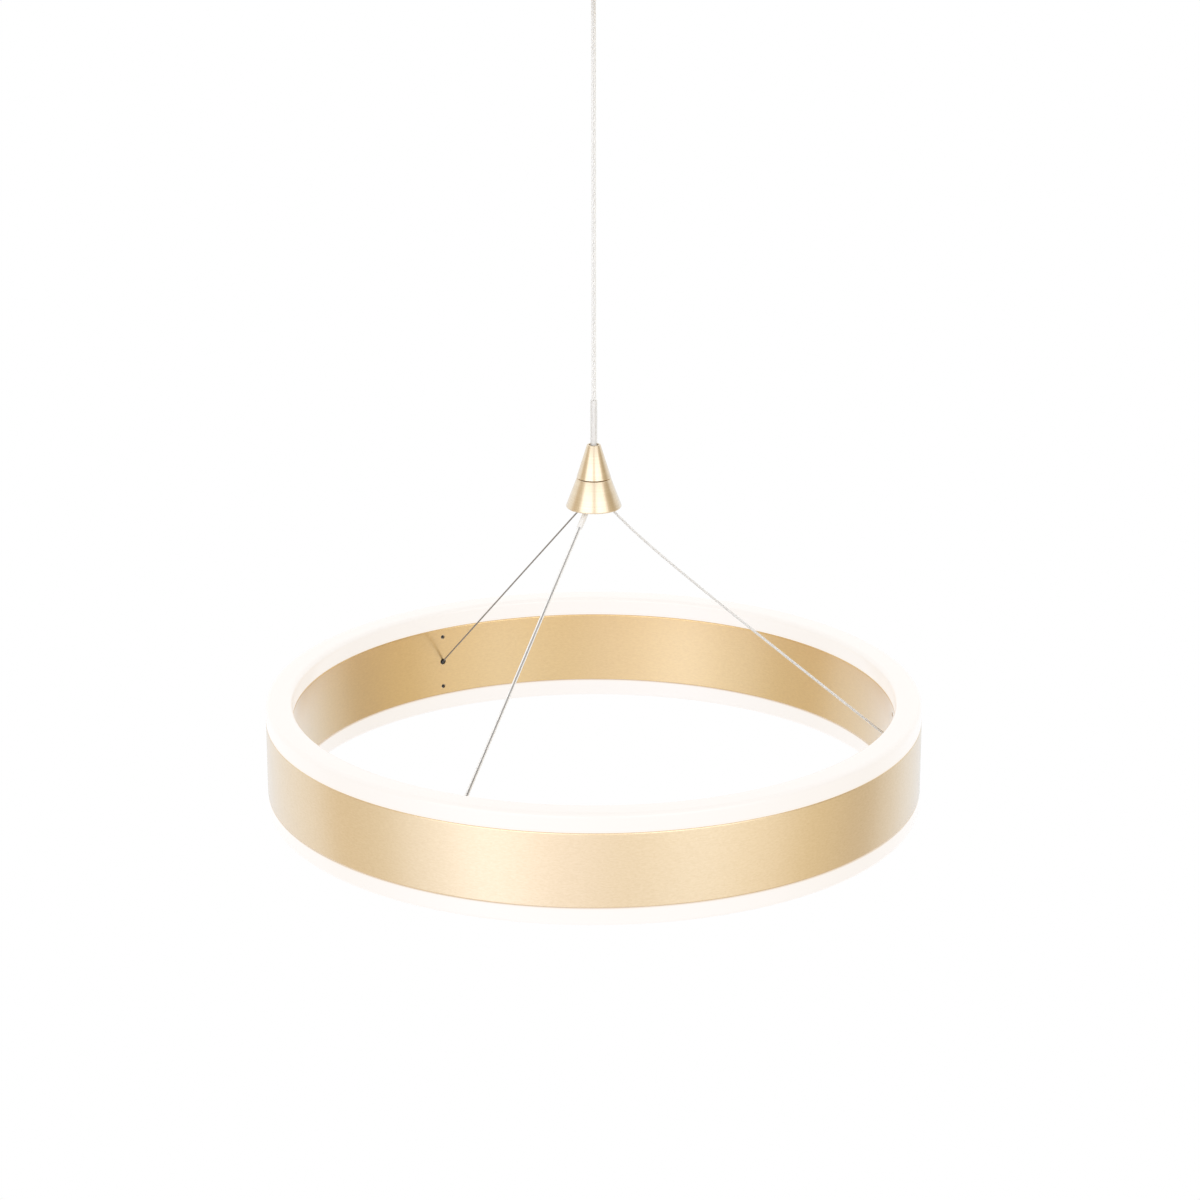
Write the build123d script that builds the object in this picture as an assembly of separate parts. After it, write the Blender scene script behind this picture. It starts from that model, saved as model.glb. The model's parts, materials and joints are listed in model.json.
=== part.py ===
from build123d import *
import os
from math import atan2, cos, degrees, hypot, pi, radians, sin, tan

# LED ring chandelier. A slim gold ring with a glowing opal edge above and
# below hangs by two steel ropes and one power cable from a turned cone, and
# the cone hangs by one clear-jacketed cable from a ceiling canopy.
#
# Millimetres, +Z up. The origin is on the ceiling, at the middle of the two
# ceiling screws, and the whole lamp hangs below it.

os.makedirs("parts", exist_ok=True)

# ---------------------------------------------------------------- sizes
# whole lamp
drop = 508.0              # ceiling to the ring's mid-plane
azimuths = (0, 120, 240)  # right rope, rear rope, power cable

# clearances
press = 0.1               # between pieces of one body that are fixed together
run = 0.05                # between a turning shaft and its bore, on the radius
free = 0.3                # between pieces that move past each other

# ring: two gold bands with decks, light strips and diffusers between them
ring_od = 400.0
ring_width = 16.4
band_height = 45.6
outer_wall = 2.0
inner_wall = 1.6
band_edge = 0.4           # softened rims of the bands
ledge_reach = 1.2
ledge_thick = 1.2
cavity_height = 14.0      # wiring space between the two decks
deck_thick = 1.5

diffuser_proud = 11.4     # how far the opal stands above and below the gold
diffuser_inset = 0.15     # the opal's flanks lie just inside the gold faces
diffuser_cap = 2.8
diffuser_leg = 2.5
diffuser_corner = 3.0

strip_thick = 0.4
led_count = 72
led_size = 5.0
led_height = 1.0
strip_margin = 0.9        # strip beyond the light chips, each side

retainer_height = 17.0    # the small screws above and below each wire
retainer_hole_d = 2.5
retainer_head_d = 2.2
retainer_head_h = 0.8
retainer_d = 1.9
retainer_recess = 0.6
retainer_length = 3.3

# wires from the hub to the ring
rope_d = 1.0              # bare steel rope, rear
coated_d = 1.6            # clear-coated rope, right
power_d = 2.2             # clear-jacketed power cable, front left
power_sleeve_d = 3.4
power_sleeve_length = 17.0
rope_sag = 2.9            # how far the coated rope bows below a straight line
wire_exit_r = 9.0         # where the wires leave the hub's underside
wire_landing = 0.5        # where they aim, behind the ring's inner face

stud_ball_d = 2.7
stud_shank_d = 1.8
stud_length = 7.0
stud_crimp_wall = 0.1
stud_crimp_length = 2.4
rope_hole_d = 3.6
power_hole_d = 5.8
grommet_flange_d = 8.2
grommet_flange = 0.8
block_width = 12.0
block_depth = 9.0
power_seat = 7.0          # how deep the power cable sits behind the aim point

# hub: two cones that turn on each other
hub_rise = 153.3          # ring's mid-plane to the hub's underside
cone_base_d = 34.0
cone_split_d = 20.6
cone_top_d = 8.0
lower_cone_height = 18.0
upper_cone_height = 20.2
split_gap = 0.5
cone_base_round = 0.7
cone_edge = 0.25
base_plate_d = 25.0
base_plate_thick = 5.0
hub_cavity_d = 19.0
hub_top_plate = 3.2
swivel_d = 12.0
swivel_bore_d = 9.2
swivel_nut_d = 16.0
swivel_nut_thick = 3.2
mouth_d = 5.9
mouth_depth = 5.0
stop_length = 3.5
stop_wall = 0.9
stop_floor = 0.8          # metal left under each wire's stop
anchor_d = 7.4
anchor_length = 7.5
anchor_shelf = 6.4        # metal between the mouth and the cable anchor

# main cable
cable_d = 2.8
sleeve_d = 4.3
sleeve_length = 29.0
sleeve_seat = 1.5         # how far the sleeve reaches into the cone's mouth
cable_break = 0.8         # the cable bends here, between sleeve and cone

# canopy and what it hides
cup_od = 120.0
cup_depth = 32.0
cup_wall = 1.2
cup_corner = 4.0
cup_ceiling_gap = 0.5
twist = 18.0              # quarter-turn lock of the cup, degrees

plate_gap = 5.8           # between the cup's wall and the plate's rim
plate_thick = 1.5
supply_hole_d = 20.0
slot_spacing = 72.0
slot_length = 12.0
slot_width = 5.0
ear_width = 14.0
ear_drop = 16.0
ear_hole_drop = 10.5
side_screw_d = 4.0
side_head_d = 8.0
side_head_length = 5.0
side_grooves = 16

bridge_width = 18.0
bridge_span = 28.0
bridge_drop = 15.5
bridge_foot = 10.0
bridge_bend = 0.8         # inside of its bends
rivet_d = 3.2
rivet_head_d = 5.2
rivet_head = 0.9

driver_length = 70.0
driver_width = 26.0
driver_height = 20.0
driver_near = 12.0        # driver's near side, from the axis
driver_round = 2.0
driver_tab = 6.0
driver_tab_width = 10.0
driver_tab_thick = 2.0
driver_screw_d = 2.5
driver_screw_head_d = 5.0

terminal_length = 24.0
terminal_width = 16.0
terminal_height = 11.0
terminal_near = 18.0
terminal_screw_d = 3.2
terminal_screw_spacing = 10.0
terminal_entry_depth = 3.0

stem_d = 10.0
stem_bore_d = 4.0
stem_proud = 0.5          # the stem's end above its upper nut
nut_flats = 14.0
nut_thick = 3.5
collar_d = 18.0
collar_thick = 3.0
grip_nut_d = 15.0
grip_nut_end_d = 9.0
grip_nut_height = 10.4
grip_nut_straight = 6.0
grip_nut_grooves = 20
grip_thread = 4.0         # how far the stem reaches into the grip nut
grip_mouth_d = 5.6
pivot_depth = 2.0         # the cable bends this far inside the grip's mouth
collet_d = 8.0

# ---------------------------------------------------------------- derived
z_ring = -drop
ring_r = ring_od / 2
inner_r = ring_r - ring_width
outer_face = ring_r - outer_wall          # inside of the outer band
inner_face = inner_r + inner_wall         # outside of the inner band
light_r = (outer_face + inner_face) / 2
deck_low = cavity_height / 2
deck_high = deck_low + deck_thick

hub_low = z_ring + hub_rise
hub_split = hub_low + lower_cone_height
upper_low = hub_split + split_gap
hub_high = upper_low + upper_cone_height
pivot_low = hub_high - sleeve_seat        # where the cable bends at the cone

aim_r = inner_r + wire_landing
slope = atan2(hub_rise, aim_r - wire_exit_r)
wire_run = hypot(hub_rise, aim_r - wire_exit_r)
# the coated rope's route: share of the way down, share of its bow
bow = ((0.06, 0.586), (0.18, 0.983), (0.36, 0.983), (0.567, 0.724), (0.782, 0.397))
lean = atan2(bow[0][1] * rope_sag, bow[0][0] * wire_run)  # it leaves the hub this much steeper

bridge_high = -plate_thick - bridge_drop  # seat of the stem's upper nut
stem_high = bridge_high + nut_thick + stem_proud
terminal_mid = -plate_thick - terminal_height / 2
rivet_x = bridge_span / 2 + plate_thick + bridge_foot / 2
tab_x = driver_length / 2 + driver_tab / 2
tab_y = driver_near + driver_tab_width / 2
cup_r = cup_od / 2
plate_r = cup_r - cup_wall - plate_gap

cup_floor = -cup_depth
collar_high = cup_floor - free
collar_low = collar_high - collar_thick
grip_high = collar_low - free
grip_low = grip_high - grip_nut_height
pivot_high = grip_low + pivot_depth       # where the cable bends at the grip
collet_low = pivot_high + cable_d / 2 + free
nut_high = hub_split - hub_top_plate - press
swivel_low = nut_high - swivel_nut_thick

BOTTOM = (Align.CENTER, Align.CENTER, Align.MIN)
TOP = (Align.CENTER, Align.CENTER, Align.MAX)


# ---------------------------------------------------------------- helpers
def section(points, rounds=(), bevels=()):
    """A closed outline in the XZ plane from (x, z) corners. rounds and
    bevels give (corner number, size) pairs for corners that are rounded or
    cut at 45 degrees."""
    face = make_face(Polyline(*points, close=True))
    for corners, soften in ((rounds, fillet), (bevels, chamfer)):
        for number, size in corners:
            x, z = points[number]
            face = soften(face.vertices().sort_by(lambda v: hypot(v.X - x, v.Y - z))[0], size)
    return Plane.XZ * face


def spun(points, rounds=(), bevels=()):
    """A solid of revolution about Z."""
    return revolve(section(points, rounds, bevels), Axis.Z)


def tube(outer_d, inner_d, low, high):
    return Pos(0, 0, low) * (Cylinder(outer_d / 2, high - low, align=BOTTOM) - Cylinder(inner_d / 2, high - low, align=BOTTOM))


def rod(start, end, diameter):
    start, end = Vector(*start), Vector(*end)
    return Plane(origin=start, z_dir=end - start) * Cylinder(diameter / 2, (end - start).length, align=BOTTOM)


def around(shape, angles=azimuths):
    return [Rot(0, 0, angle) * shape for angle in angles]


def together(shapes):
    """Separate solids of one node."""
    return Compound([solid for shape in shapes for solid in shape.solids()])


def on_wire(distance, steeper=0.0):
    """A point on a wire's straight line at azimuth 0, this far from the
    hub's underside; a negative distance lies inside the hub."""
    angle = slope + steeper
    return (wire_exit_r + distance * cos(angle), 0, hub_low - distance * sin(angle))


def save(shape, name):
    export_step(shape, f"parts/{name}.step")


# ---------------------------------------------------------------- ring
def outer_band():
    top, ledge = band_height / 2, deck_low - ledge_thick
    half = [
        (ring_r, -top), (ring_r, top), (outer_face, top),
        (outer_face, deck_low), (outer_face - ledge_reach, deck_low),
        (outer_face - ledge_reach, ledge), (outer_face, ledge),
        (outer_face, -ledge), (outer_face - ledge_reach, -ledge),
        (outer_face - ledge_reach, -deck_low), (outer_face, -deck_low),
        (outer_face, -top),
    ]
    return Pos(0, 0, z_ring) * spun(half, bevels=[(0, band_edge), (1, band_edge)])


def inner_band():
    top, ledge = band_height / 2, deck_low - ledge_thick
    band = Pos(0, 0, z_ring) * spun(
        [
            (inner_r, -top), (inner_face, -top),
            (inner_face, -deck_low), (inner_face + ledge_reach, -deck_low),
            (inner_face + ledge_reach, -ledge), (inner_face, -ledge),
            (inner_face, ledge), (inner_face + ledge_reach, ledge),
            (inner_face + ledge_reach, deck_low), (inner_face, deck_low),
            (inner_face, top), (inner_r, top),
        ],
        bevels=[(0, band_edge), (11, band_edge)],
    )
    for angle in azimuths:
        hole = power_hole_d if angle == azimuths[2] else rope_hole_d
        band -= Rot(0, 0, angle) * rod((inner_r - 5, 0, z_ring), (inner_face + 5, 0, z_ring), hole)
        for side in (1, -1):
            z = z_ring + side * retainer_height
            band -= Rot(0, 0, angle) * rod((inner_r - 5, 0, z), (inner_face + 5, 0, z), retainer_hole_d)
    return band


def deck(side):
    low, high = inner_face + press, outer_face - press
    plate = tube(2 * high, 2 * low, deck_low, deck_high)
    return Pos(0, 0, z_ring) * (plate if side > 0 else mirror(plate, Plane.XY))


def diffuser(side):
    """An opal channel: a rounded cap over the bands' rims and two legs that
    hold the deck down on its ledges."""
    rim, high = band_height / 2 + press, band_height / 2 + diffuser_proud
    foot = deck_high + press
    out, inn = ring_r - diffuser_inset, inner_r + diffuser_inset
    leg_out, leg_in = outer_face - press, inner_face + press
    channel = spun(
        [
            (inn, rim), (inn, high), (out, high), (out, rim),
            (leg_out, rim), (leg_out, foot), (leg_out - diffuser_leg, foot),
            (leg_out - diffuser_leg, high - diffuser_cap),
            (leg_in + diffuser_leg, high - diffuser_cap),
            (leg_in + diffuser_leg, foot), (leg_in, foot), (leg_in, rim),
        ],
        [(1, diffuser_corner), (2, diffuser_corner)],
    )
    for angle in azimuths:
        channel -= Rot(0, 0, angle) * rod(
            (inner_face - 1, 0, retainer_height), (inner_face + press + diffuser_leg + 1, 0, retainer_height),
            retainer_d + 2 * run,
        )
    return Pos(0, 0, z_ring) * (channel if side > 0 else mirror(channel, Plane.XY))


def light_strip(side):
    half = led_size / 2 + strip_margin
    low = deck_high
    strip = tube(2 * (light_r + half), 2 * (light_r - half), low, low + strip_thick)
    return Pos(0, 0, z_ring) * (strip if side > 0 else mirror(strip, Plane.XY))


def light_chips(side):
    low = deck_high + strip_thick
    chip = Pos(light_r, 0, low) * Box(led_size, led_size, led_height, align=BOTTOM)
    if side < 0:
        chip = mirror(chip, Plane.XY)
    step = 360 / led_count
    return Pos(0, 0, z_ring) * together(around(chip, [step * (k + 0.5) for k in range(led_count)]))


def retainer():
    """A small recessed screw through the inner band into the opal's leg."""
    head = inner_r + retainer_recess
    screw = rod((head, 0, 0), (head + retainer_head_h, 0, 0), retainer_head_d)
    screw += rod((head + retainer_head_h / 2, 0, 0), (head + retainer_head_h + retainer_length, 0, 0), retainer_d)
    socket = Plane(origin=(head, 0, 0), z_dir=(1, 0, 0)) * extrude(RegularPolygon(retainer_head_d / 4, 6), retainer_head_h / 2)
    return screw - socket


def retainers():
    screw = retainer()
    pair = [Pos(0, 0, z_ring + side * retainer_height) * screw for side in (1, -1)]
    return together([piece for shape in pair for piece in around(shape)])


def anchor_block(bore):
    """A block in the wiring space, behind the inner band. It is stepped to
    clear the ledges, and bore is what it is drilled with."""
    near = inner_face + press
    nose_height = 2 * (deck_low - ledge_thick - press)
    full_height = 2 * (deck_low - press)
    step = ledge_reach + press
    block = Pos(near, 0, 0) * Box(block_depth, block_width, nose_height, align=(Align.MIN, Align.CENTER, Align.CENTER))
    block += Pos(near + step, 0, 0) * Box(block_depth - step, block_width, full_height, align=(Align.MIN, Align.CENTER, Align.CENTER))
    return Pos(0, 0, z_ring) * block - bore


def rope_blocks():
    bore = rod((inner_r, 0, z_ring), (aim_r + stud_length + press, 0, z_ring), stud_shank_d + 2 * run)
    bore += rod((inner_r, 0, z_ring), (aim_r + stud_ball_d / 2 + press, 0, z_ring), stud_ball_d + 2 * press)
    return together(around(anchor_block(bore), azimuths[:2]))


def power_block():
    bore = rod(on_wire(wire_run), on_wire(wire_run + power_seat), power_d + 2 * press)
    return Rot(0, 0, azimuths[2]) * anchor_block(bore)


def rope_stud(wire_d):
    """A ball in the ring's hole with a shank in the block behind it and a
    crimp that points up the rope."""
    ball = Pos(aim_r, 0, z_ring) * Sphere(stud_ball_d / 2)
    ball += rod((aim_r, 0, z_ring), (aim_r + stud_length, 0, z_ring), stud_shank_d)
    return ball + rod((aim_r, 0, z_ring), on_wire(wire_run - stud_crimp_length), wire_d + 2 * stud_crimp_wall)


def rope_studs():
    pair = zip(azimuths, (coated_d, rope_d))
    return together([Rot(0, 0, angle) * rope_stud(size) for angle, size in pair])


def grommet():
    """A clear bush where the power cable enters the ring."""
    back = inner_r - press
    bush = rod((back - grommet_flange, 0, z_ring), (back, 0, z_ring), grommet_flange_d)
    bush += rod((back - grommet_flange / 2, 0, z_ring), (inner_face, 0, z_ring), power_hole_d - 2 * press)
    bush -= rod(on_wire(wire_run - 10), on_wire(wire_run + 10), power_d + 2 * press)
    return Rot(0, 0, azimuths[2]) * bush


# ---------------------------------------------------------------- wires
def stop_d(wire_d):
    return wire_d + 2 * stop_wall


def stop_seat(size):
    """How far inside the hub, along the wire, a stop of this size sits."""
    return (size / 2 * cos(slope) + stop_floor) / sin(slope)


power_stop_d = stop_d(power_sleeve_d)


def rear_rope():
    seat = stop_seat(stop_d(rope_d))
    return Rot(0, 0, azimuths[1]) * rod(on_wire(-seat), on_wire(wire_run - stud_crimp_length), rope_d)


def coated_route():
    """Points of the coated rope: straight out of the hub, then bowed a
    little below the line to the stud."""
    down = Vector(-sin(slope), 0, -cos(slope)) * rope_sag
    middle = [Vector(*on_wire(share * wire_run)) + down * depth for share, depth in bow]
    start = Vector(*on_wire(-stop_seat(stop_d(coated_d)), lean))
    return [start, *middle, Vector(*on_wire(wire_run - stud_crimp_length))]


def coated_rope():
    points = coated_route()
    runs = [(b - a).length for a, b in zip(points, points[1:])]
    turns = [(b - a).get_angle(c - b) for a, b, c in zip(points, points[1:], points[2:])]
    radii = [0.45 * min(first, second) / tan(radians(turn) / 2) for first, second, turn in zip(runs, runs[1:], turns)]
    print("coated rope bend radii:", [round(radius) for radius in radii])
    path = FilletPolyline(*points, radius=radii)
    rope = sweep(Plane(origin=path @ 0, z_dir=path % 0) * Circle(coated_d / 2), path=path)
    print("coated rope volume to section times length:", round(rope.volume / (pi * coated_d**2 / 4 * path.length), 5))
    return Rot(0, 0, azimuths[0]) * rope


def power_cable():
    seat = stop_seat(power_stop_d)
    return Rot(0, 0, azimuths[2]) * rod(on_wire(-seat), on_wire(wire_run + power_seat - press), power_d)


def power_sleeve():
    """The clear sleeve over the power cable's first stretch."""
    seat = stop_seat(power_stop_d)
    outer = rod(on_wire(-seat), on_wire(power_sleeve_length - seat), power_sleeve_d)
    return Rot(0, 0, azimuths[2]) * (outer - rod(on_wire(-seat - 1), on_wire(power_sleeve_length + 1), power_d + 2 * press))


def wire_stop(size, steeper=0.0):
    """The crimp on a wire's end, inside the hub."""
    seat = stop_seat(size)
    return rod(on_wire(-seat, steeper), on_wire(-seat - stop_length, steeper), size)


def rope_stops():
    right = Rot(0, 0, azimuths[0]) * wire_stop(stop_d(coated_d), lean)
    rear = Rot(0, 0, azimuths[1]) * wire_stop(stop_d(rope_d))
    return together([right, rear])


def power_stop():
    return Rot(0, 0, azimuths[2]) * wire_stop(power_stop_d)


# ---------------------------------------------------------------- hub
def base_plate():
    """The disc in the lower cone that the three wires hang on, drilled along
    each wire and counterbored for its stop."""
    plate = Pos(0, 0, hub_low) * Cylinder(base_plate_d / 2 - press, base_plate_thick - press, align=BOTTOM)
    wires = ((coated_d, stop_d(coated_d), lean), (rope_d, stop_d(rope_d), 0.0), (power_sleeve_d, power_stop_d, 0.0))
    for angle, (wire, stop, steeper) in zip(azimuths, wires):
        seat = stop_seat(stop)
        far = seat + stop_length + base_plate_thick
        plate -= Rot(0, 0, angle) * rod(on_wire(-seat - 1, steeper), on_wire(stop, steeper), wire + 2 * press)
        plate -= Rot(0, 0, angle) * rod(on_wire(-seat, steeper), on_wire(-far, steeper), stop + 2 * press)
    return plate


def lower_cone():
    step = hub_low + base_plate_thick
    top_plate = hub_split - hub_top_plate
    return spun(
        [
            (base_plate_d / 2, hub_low), (cone_base_d / 2, hub_low),
            (cone_split_d / 2, hub_split), (swivel_d / 2 + run, hub_split),
            (swivel_d / 2 + run, top_plate), (hub_cavity_d / 2, top_plate),
            (hub_cavity_d / 2, step), (base_plate_d / 2, step),
        ],
        [(1, cone_base_round)],
        [(2, cone_edge)],
    )


def upper_cone():
    """The upper cone with its hollow swivel shank. The cable comes in through
    the mouth, and its anchor hangs the lamp from the shelf below."""
    shelf_high = hub_high - mouth_depth
    shelf_low = shelf_high - anchor_shelf
    return spun(
        [
            (swivel_d / 2, swivel_low), (swivel_d / 2, upper_low), (cone_split_d / 2, upper_low),
            (cone_top_d / 2, hub_high), (mouth_d / 2, hub_high),
            (mouth_d / 2, shelf_high), (cable_d / 2 + press, shelf_high),
            (cable_d / 2 + press, shelf_low), (swivel_bore_d / 2, shelf_low),
            (swivel_bore_d / 2, swivel_low),
        ],
        bevels=[(2, cone_edge), (3, cone_edge)],
    )


def swivel_nut():
    return tube(swivel_nut_d, swivel_d + 2 * press, swivel_low, nut_high)


def cable_anchor():
    """The crimp that is pressed on the cable's end under the shelf."""
    high = hub_high - mouth_depth - anchor_shelf - press
    crimp = tube(anchor_d, cable_d + 2 * run, high - anchor_length, high)
    for low in (0.25, 0.65):
        z = high - anchor_length * low
        crimp -= tube(anchor_d + 1, anchor_d - 0.8, z - 0.6, z + 0.6)
    return crimp


def cable_end():
    """The cable's last stretch, inside the cone."""
    low = hub_high - mouth_depth - anchor_shelf - press - anchor_length
    return Pos(0, 0, low) * Cylinder(cable_d / 2, pivot_low - cable_break - low, align=BOTTOM)


# ---------------------------------------------------------------- main cable
def main_cable():
    cable = Pos(0, 0, pivot_low) * Cylinder(cable_d / 2, pivot_high - pivot_low, align=BOTTOM)
    return cable + Pos(0, 0, pivot_high) * Sphere(cable_d / 2)


def cable_sleeve():
    return tube(sleeve_d, cable_d + 2 * press, pivot_low, pivot_low + sleeve_length)


# ---------------------------------------------------------------- grip
def grip_stem():
    """Threaded tube from the bridge, through the cup, into the grip nut."""
    stem = tube(stem_d, stem_bore_d, grip_high - grip_thread, stem_high)
    return chamfer(stem.edges().filter_by(GeomType.CIRCLE).group_by(Axis.Z)[-1], 0.4)


def hexagon(low, thick):
    """A nut on the stem, with its corners chamfered off."""
    across = nut_flats / cos(radians(30))
    nut = Pos(0, 0, low) * extrude(RegularPolygon(across / 2, 6), thick)
    nut &= spun([(0, low), (nut_flats / 2, low), (across / 2, low + 0.8), (across / 2, low + thick - 0.8), (nut_flats / 2, low + thick), (0, low + thick)])
    return nut - Pos(0, 0, low - 1) * Cylinder(stem_d / 2 + press, thick + 2, align=BOTTOM)


def stem_nuts():
    """One nut above the bridge and one below it."""
    under = bridge_high - plate_thick - nut_thick
    return together([hexagon(bridge_high, nut_thick), hexagon(under, nut_thick)])


def stem_collar():
    collar = tube(collar_d, stem_d + 2 * press, collar_low, collar_high)
    return chamfer(collar.edges().filter_by(GeomType.CIRCLE).group_by(Axis.Z)[0].sort_by(SortBy.LENGTH)[-1], 0.8)


def grip_nut():
    """The knurled nut that squeezes the collet, with a flared mouth."""
    seat = grip_high - grip_thread - free
    nut = spun(
        [
            (stem_d / 2 + run, grip_high), (grip_nut_d / 2, grip_high),
            (grip_nut_d / 2, grip_high - grip_nut_straight), (grip_nut_end_d / 2, grip_low),
            (grip_mouth_d / 2, grip_low), (cable_d / 2 + free, pivot_high),
            (cable_d / 2 + free, collet_low - free), (stem_d / 2 + run, seat - 0.2),
        ],
        bevels=[(1, 0.5), (3, 0.5)],
    )
    groove = Rot(0, 0, 45) * Box(0.8, 0.8, grip_nut_straight, align=BOTTOM)
    groove = Pos(grip_nut_d / 2 + 0.15, 0, grip_high - grip_nut_straight + 0.6) * groove
    step = 360 / grip_nut_grooves
    return nut - around(groove, [step * k for k in range(grip_nut_grooves)])


def grip_collet():
    """Split tapered sleeve that the grip nut squeezes on the cable."""
    high, low = grip_high - grip_thread, collet_low
    tall = high - low
    collet = spun([
        (cable_d / 2 + run, low), (cable_d / 2 + free + run, low),
        (collet_d / 2, high - tall * 0.15), (collet_d / 2, high), (cable_d / 2 + run, high),
    ])
    for angle in (0, 60, 120):
        collet -= Rot(0, 0, angle) * Pos(0, 0, low + tall / 2) * Box(collet_d + 2, 0.5, tall, align=TOP)
    return collet


# ---------------------------------------------------------------- canopy
def ceiling_plate():
    """Round plate against the ceiling, with two screw slots and two ears bent
    down for the side screws that hold the cup."""
    plate = Cylinder(plate_r, plate_thick, align=TOP) - Cylinder(supply_hole_d / 2, 3 * plate_thick)
    slot = extrude(SlotOverall(slot_length, slot_width), 2 * plate_thick, both=True)
    for side in (1, -1):
        ear = Box(plate_thick, ear_width, ear_drop, align=TOP)
        ear = fillet(ear.edges().filter_by(Axis.X).group_by(Axis.Z)[0], ear_width / 4)
        plate += Pos(side * (plate_r - plate_thick / 2), 0, 0) * ear
        plate -= rod((side * (plate_r - 5), 0, -ear_hole_drop), (side * (plate_r + 5), 0, -ear_hole_drop), side_screw_d + 2 * press)
        plate -= Pos(side * slot_spacing / 2, 0, 0) * slot
        plate -= [Pos(side * rivet_x, y, 0) * Cylinder(rivet_d / 2 + run, 3 * plate_thick) for y in rivet_rows]
        plate -= Pos(side * tab_x, tab_y, 0) * Cylinder(driver_screw_d / 2 + run, 3 * plate_thick)
    return plate


rivet_rows = (bridge_width / 4, -bridge_width / 4)


def stem_bridge():
    """Hat-shaped strip under the plate that carries the stem."""
    t, half, foot = plate_thick, bridge_span / 2, bridge_foot
    strip = section(
        [
            (-half - t - foot, -t), (-half, -t), (-half, bridge_high), (half, bridge_high),
            (half, -t), (half + t + foot, -t), (half + t + foot, -2 * t), (half + t, -2 * t),
            (half + t, bridge_high - t), (-half - t, bridge_high - t), (-half - t, -2 * t),
            (-half - t - foot, -2 * t),
        ],
        [(2, bridge_bend), (3, bridge_bend), (7, bridge_bend), (10, bridge_bend)]
        + [(number, bridge_bend + t) for number in (1, 4, 8, 9)],
    )
    bridge = extrude(strip, bridge_width / 2, both=True)
    bridge -= Pos(0, 0, bridge_high) * Cylinder(stem_d / 2 + press, 4 * t)
    for side in (1, -1):
        bridge -= [Pos(side * rivet_x, y, 0) * Cylinder(rivet_d / 2 + run, 6 * t) for y in rivet_rows]
    return bridge


def bridge_rivets():
    """Rivets through plate and bridge, flush with the ceiling."""
    rivet = Pos(0, 0, -2 * plate_thick) * Cylinder(rivet_d / 2, 2 * plate_thick - press, align=BOTTOM)
    head = Pos(0, 0, -2 * plate_thick) * Cylinder(rivet_head_d / 2, rivet_head, align=TOP)
    rivet += chamfer(head.edges().group_by(Axis.Z)[0], rivet_head * 0.5)
    return together([Pos(side * rivet_x, y, 0) * rivet for side in (1, -1) for y in rivet_rows])


def driver_case():
    """The power supply: a moulded box with a screw tab at each end."""
    middle = driver_near + driver_width / 2
    case = Pos(0, middle, -plate_thick) * Box(driver_length, driver_width, driver_height, align=TOP)
    case = fillet(case.edges().filter_by(Axis.Z), driver_round)
    case = fillet(case.edges().group_by(Axis.Z)[0], driver_round / 2)
    for side in (1, -1):
        tab = Box(driver_tab + driver_round, driver_tab_width, driver_tab_thick, align=(Align.MAX, Align.CENTER, Align.MAX))
        tab = Pos(driver_length / 2 + driver_tab, 0, 0) * fillet(tab.edges().filter_by(Axis.Z).group_by(Axis.X)[-1], driver_tab_width / 4)
        if side < 0:
            tab = mirror(tab, Plane.YZ)
        case += Pos(0, tab_y, -plate_thick) * tab
        case -= Pos(side * tab_x, tab_y, -plate_thick + 1) * Cylinder(driver_screw_d / 2 + press, driver_tab_thick + 2, align=TOP)
    return case


def driver_screws():
    seat = -plate_thick - driver_tab_thick
    screw = Pos(0, 0, seat) * Cylinder(driver_screw_d / 2, driver_tab_thick + plate_thick - press, align=BOTTOM)
    head = Pos(0, 0, seat) * Cylinder(driver_screw_head_d / 2, driver_screw_d * 0.7, align=TOP)
    screw += chamfer(head.edges().group_by(Axis.Z)[0], driver_screw_d * 0.25)
    screw -= [Rot(0, 0, angle) * Pos(0, 0, seat - driver_screw_d * 0.7) * Box(driver_screw_head_d * 0.6, 0.6, 0.8, align=BOTTOM) for angle in (0, 90)]
    return together([Pos(side * tab_x, tab_y, 0) * screw for side in (1, -1)])


def terminal_block():
    """Where the lamp's cable meets the supply: two screw pits below and an
    entry in its near side."""
    middle = -terminal_near - terminal_width / 2
    block = Pos(0, middle, -plate_thick) * Box(terminal_length, terminal_width, terminal_height, align=TOP)
    block = fillet(block.edges().filter_by(Axis.Z), 1.5)
    block -= rod((0, -terminal_near + 1, terminal_mid), (0, -terminal_near - terminal_entry_depth, terminal_mid), cable_d + 2 * press)
    pit = Pos(0, middle, -plate_thick - terminal_height) * Cylinder(terminal_screw_d / 2 + press, terminal_height / 3, align=BOTTOM)
    return block - [Pos(side * terminal_screw_spacing / 2, 0, 0) * pit for side in (1, -1)]


def terminal_screws():
    middle = -terminal_near - terminal_width / 2
    seat = -plate_thick - terminal_height * 2 / 3
    screw = Pos(0, middle, seat) * Cylinder(terminal_screw_d / 2, terminal_height / 4, align=TOP)
    screw -= Pos(0, middle, seat - terminal_height / 4) * Box(terminal_screw_d, 0.6, 0.8, align=BOTTOM)
    return together([Pos(side * terminal_screw_spacing / 2, 0, 0) * screw for side in (1, -1)])


def inner_cable():
    """The cable above the grip, through the stem and into the terminal
    block."""
    low = collet_low
    bend = terminal_mid - stem_high + 2
    path = FilletPolyline(
        (0, 0, low), (0, 0, terminal_mid), (0, -terminal_near - terminal_entry_depth + press, terminal_mid),
        radius=bend,
    )
    print("inner cable bend radius:", round(bend, 2))
    return sweep(Plane(origin=path @ 0, z_dir=path % 0) * Circle(cable_d / 2), path=path)


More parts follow.
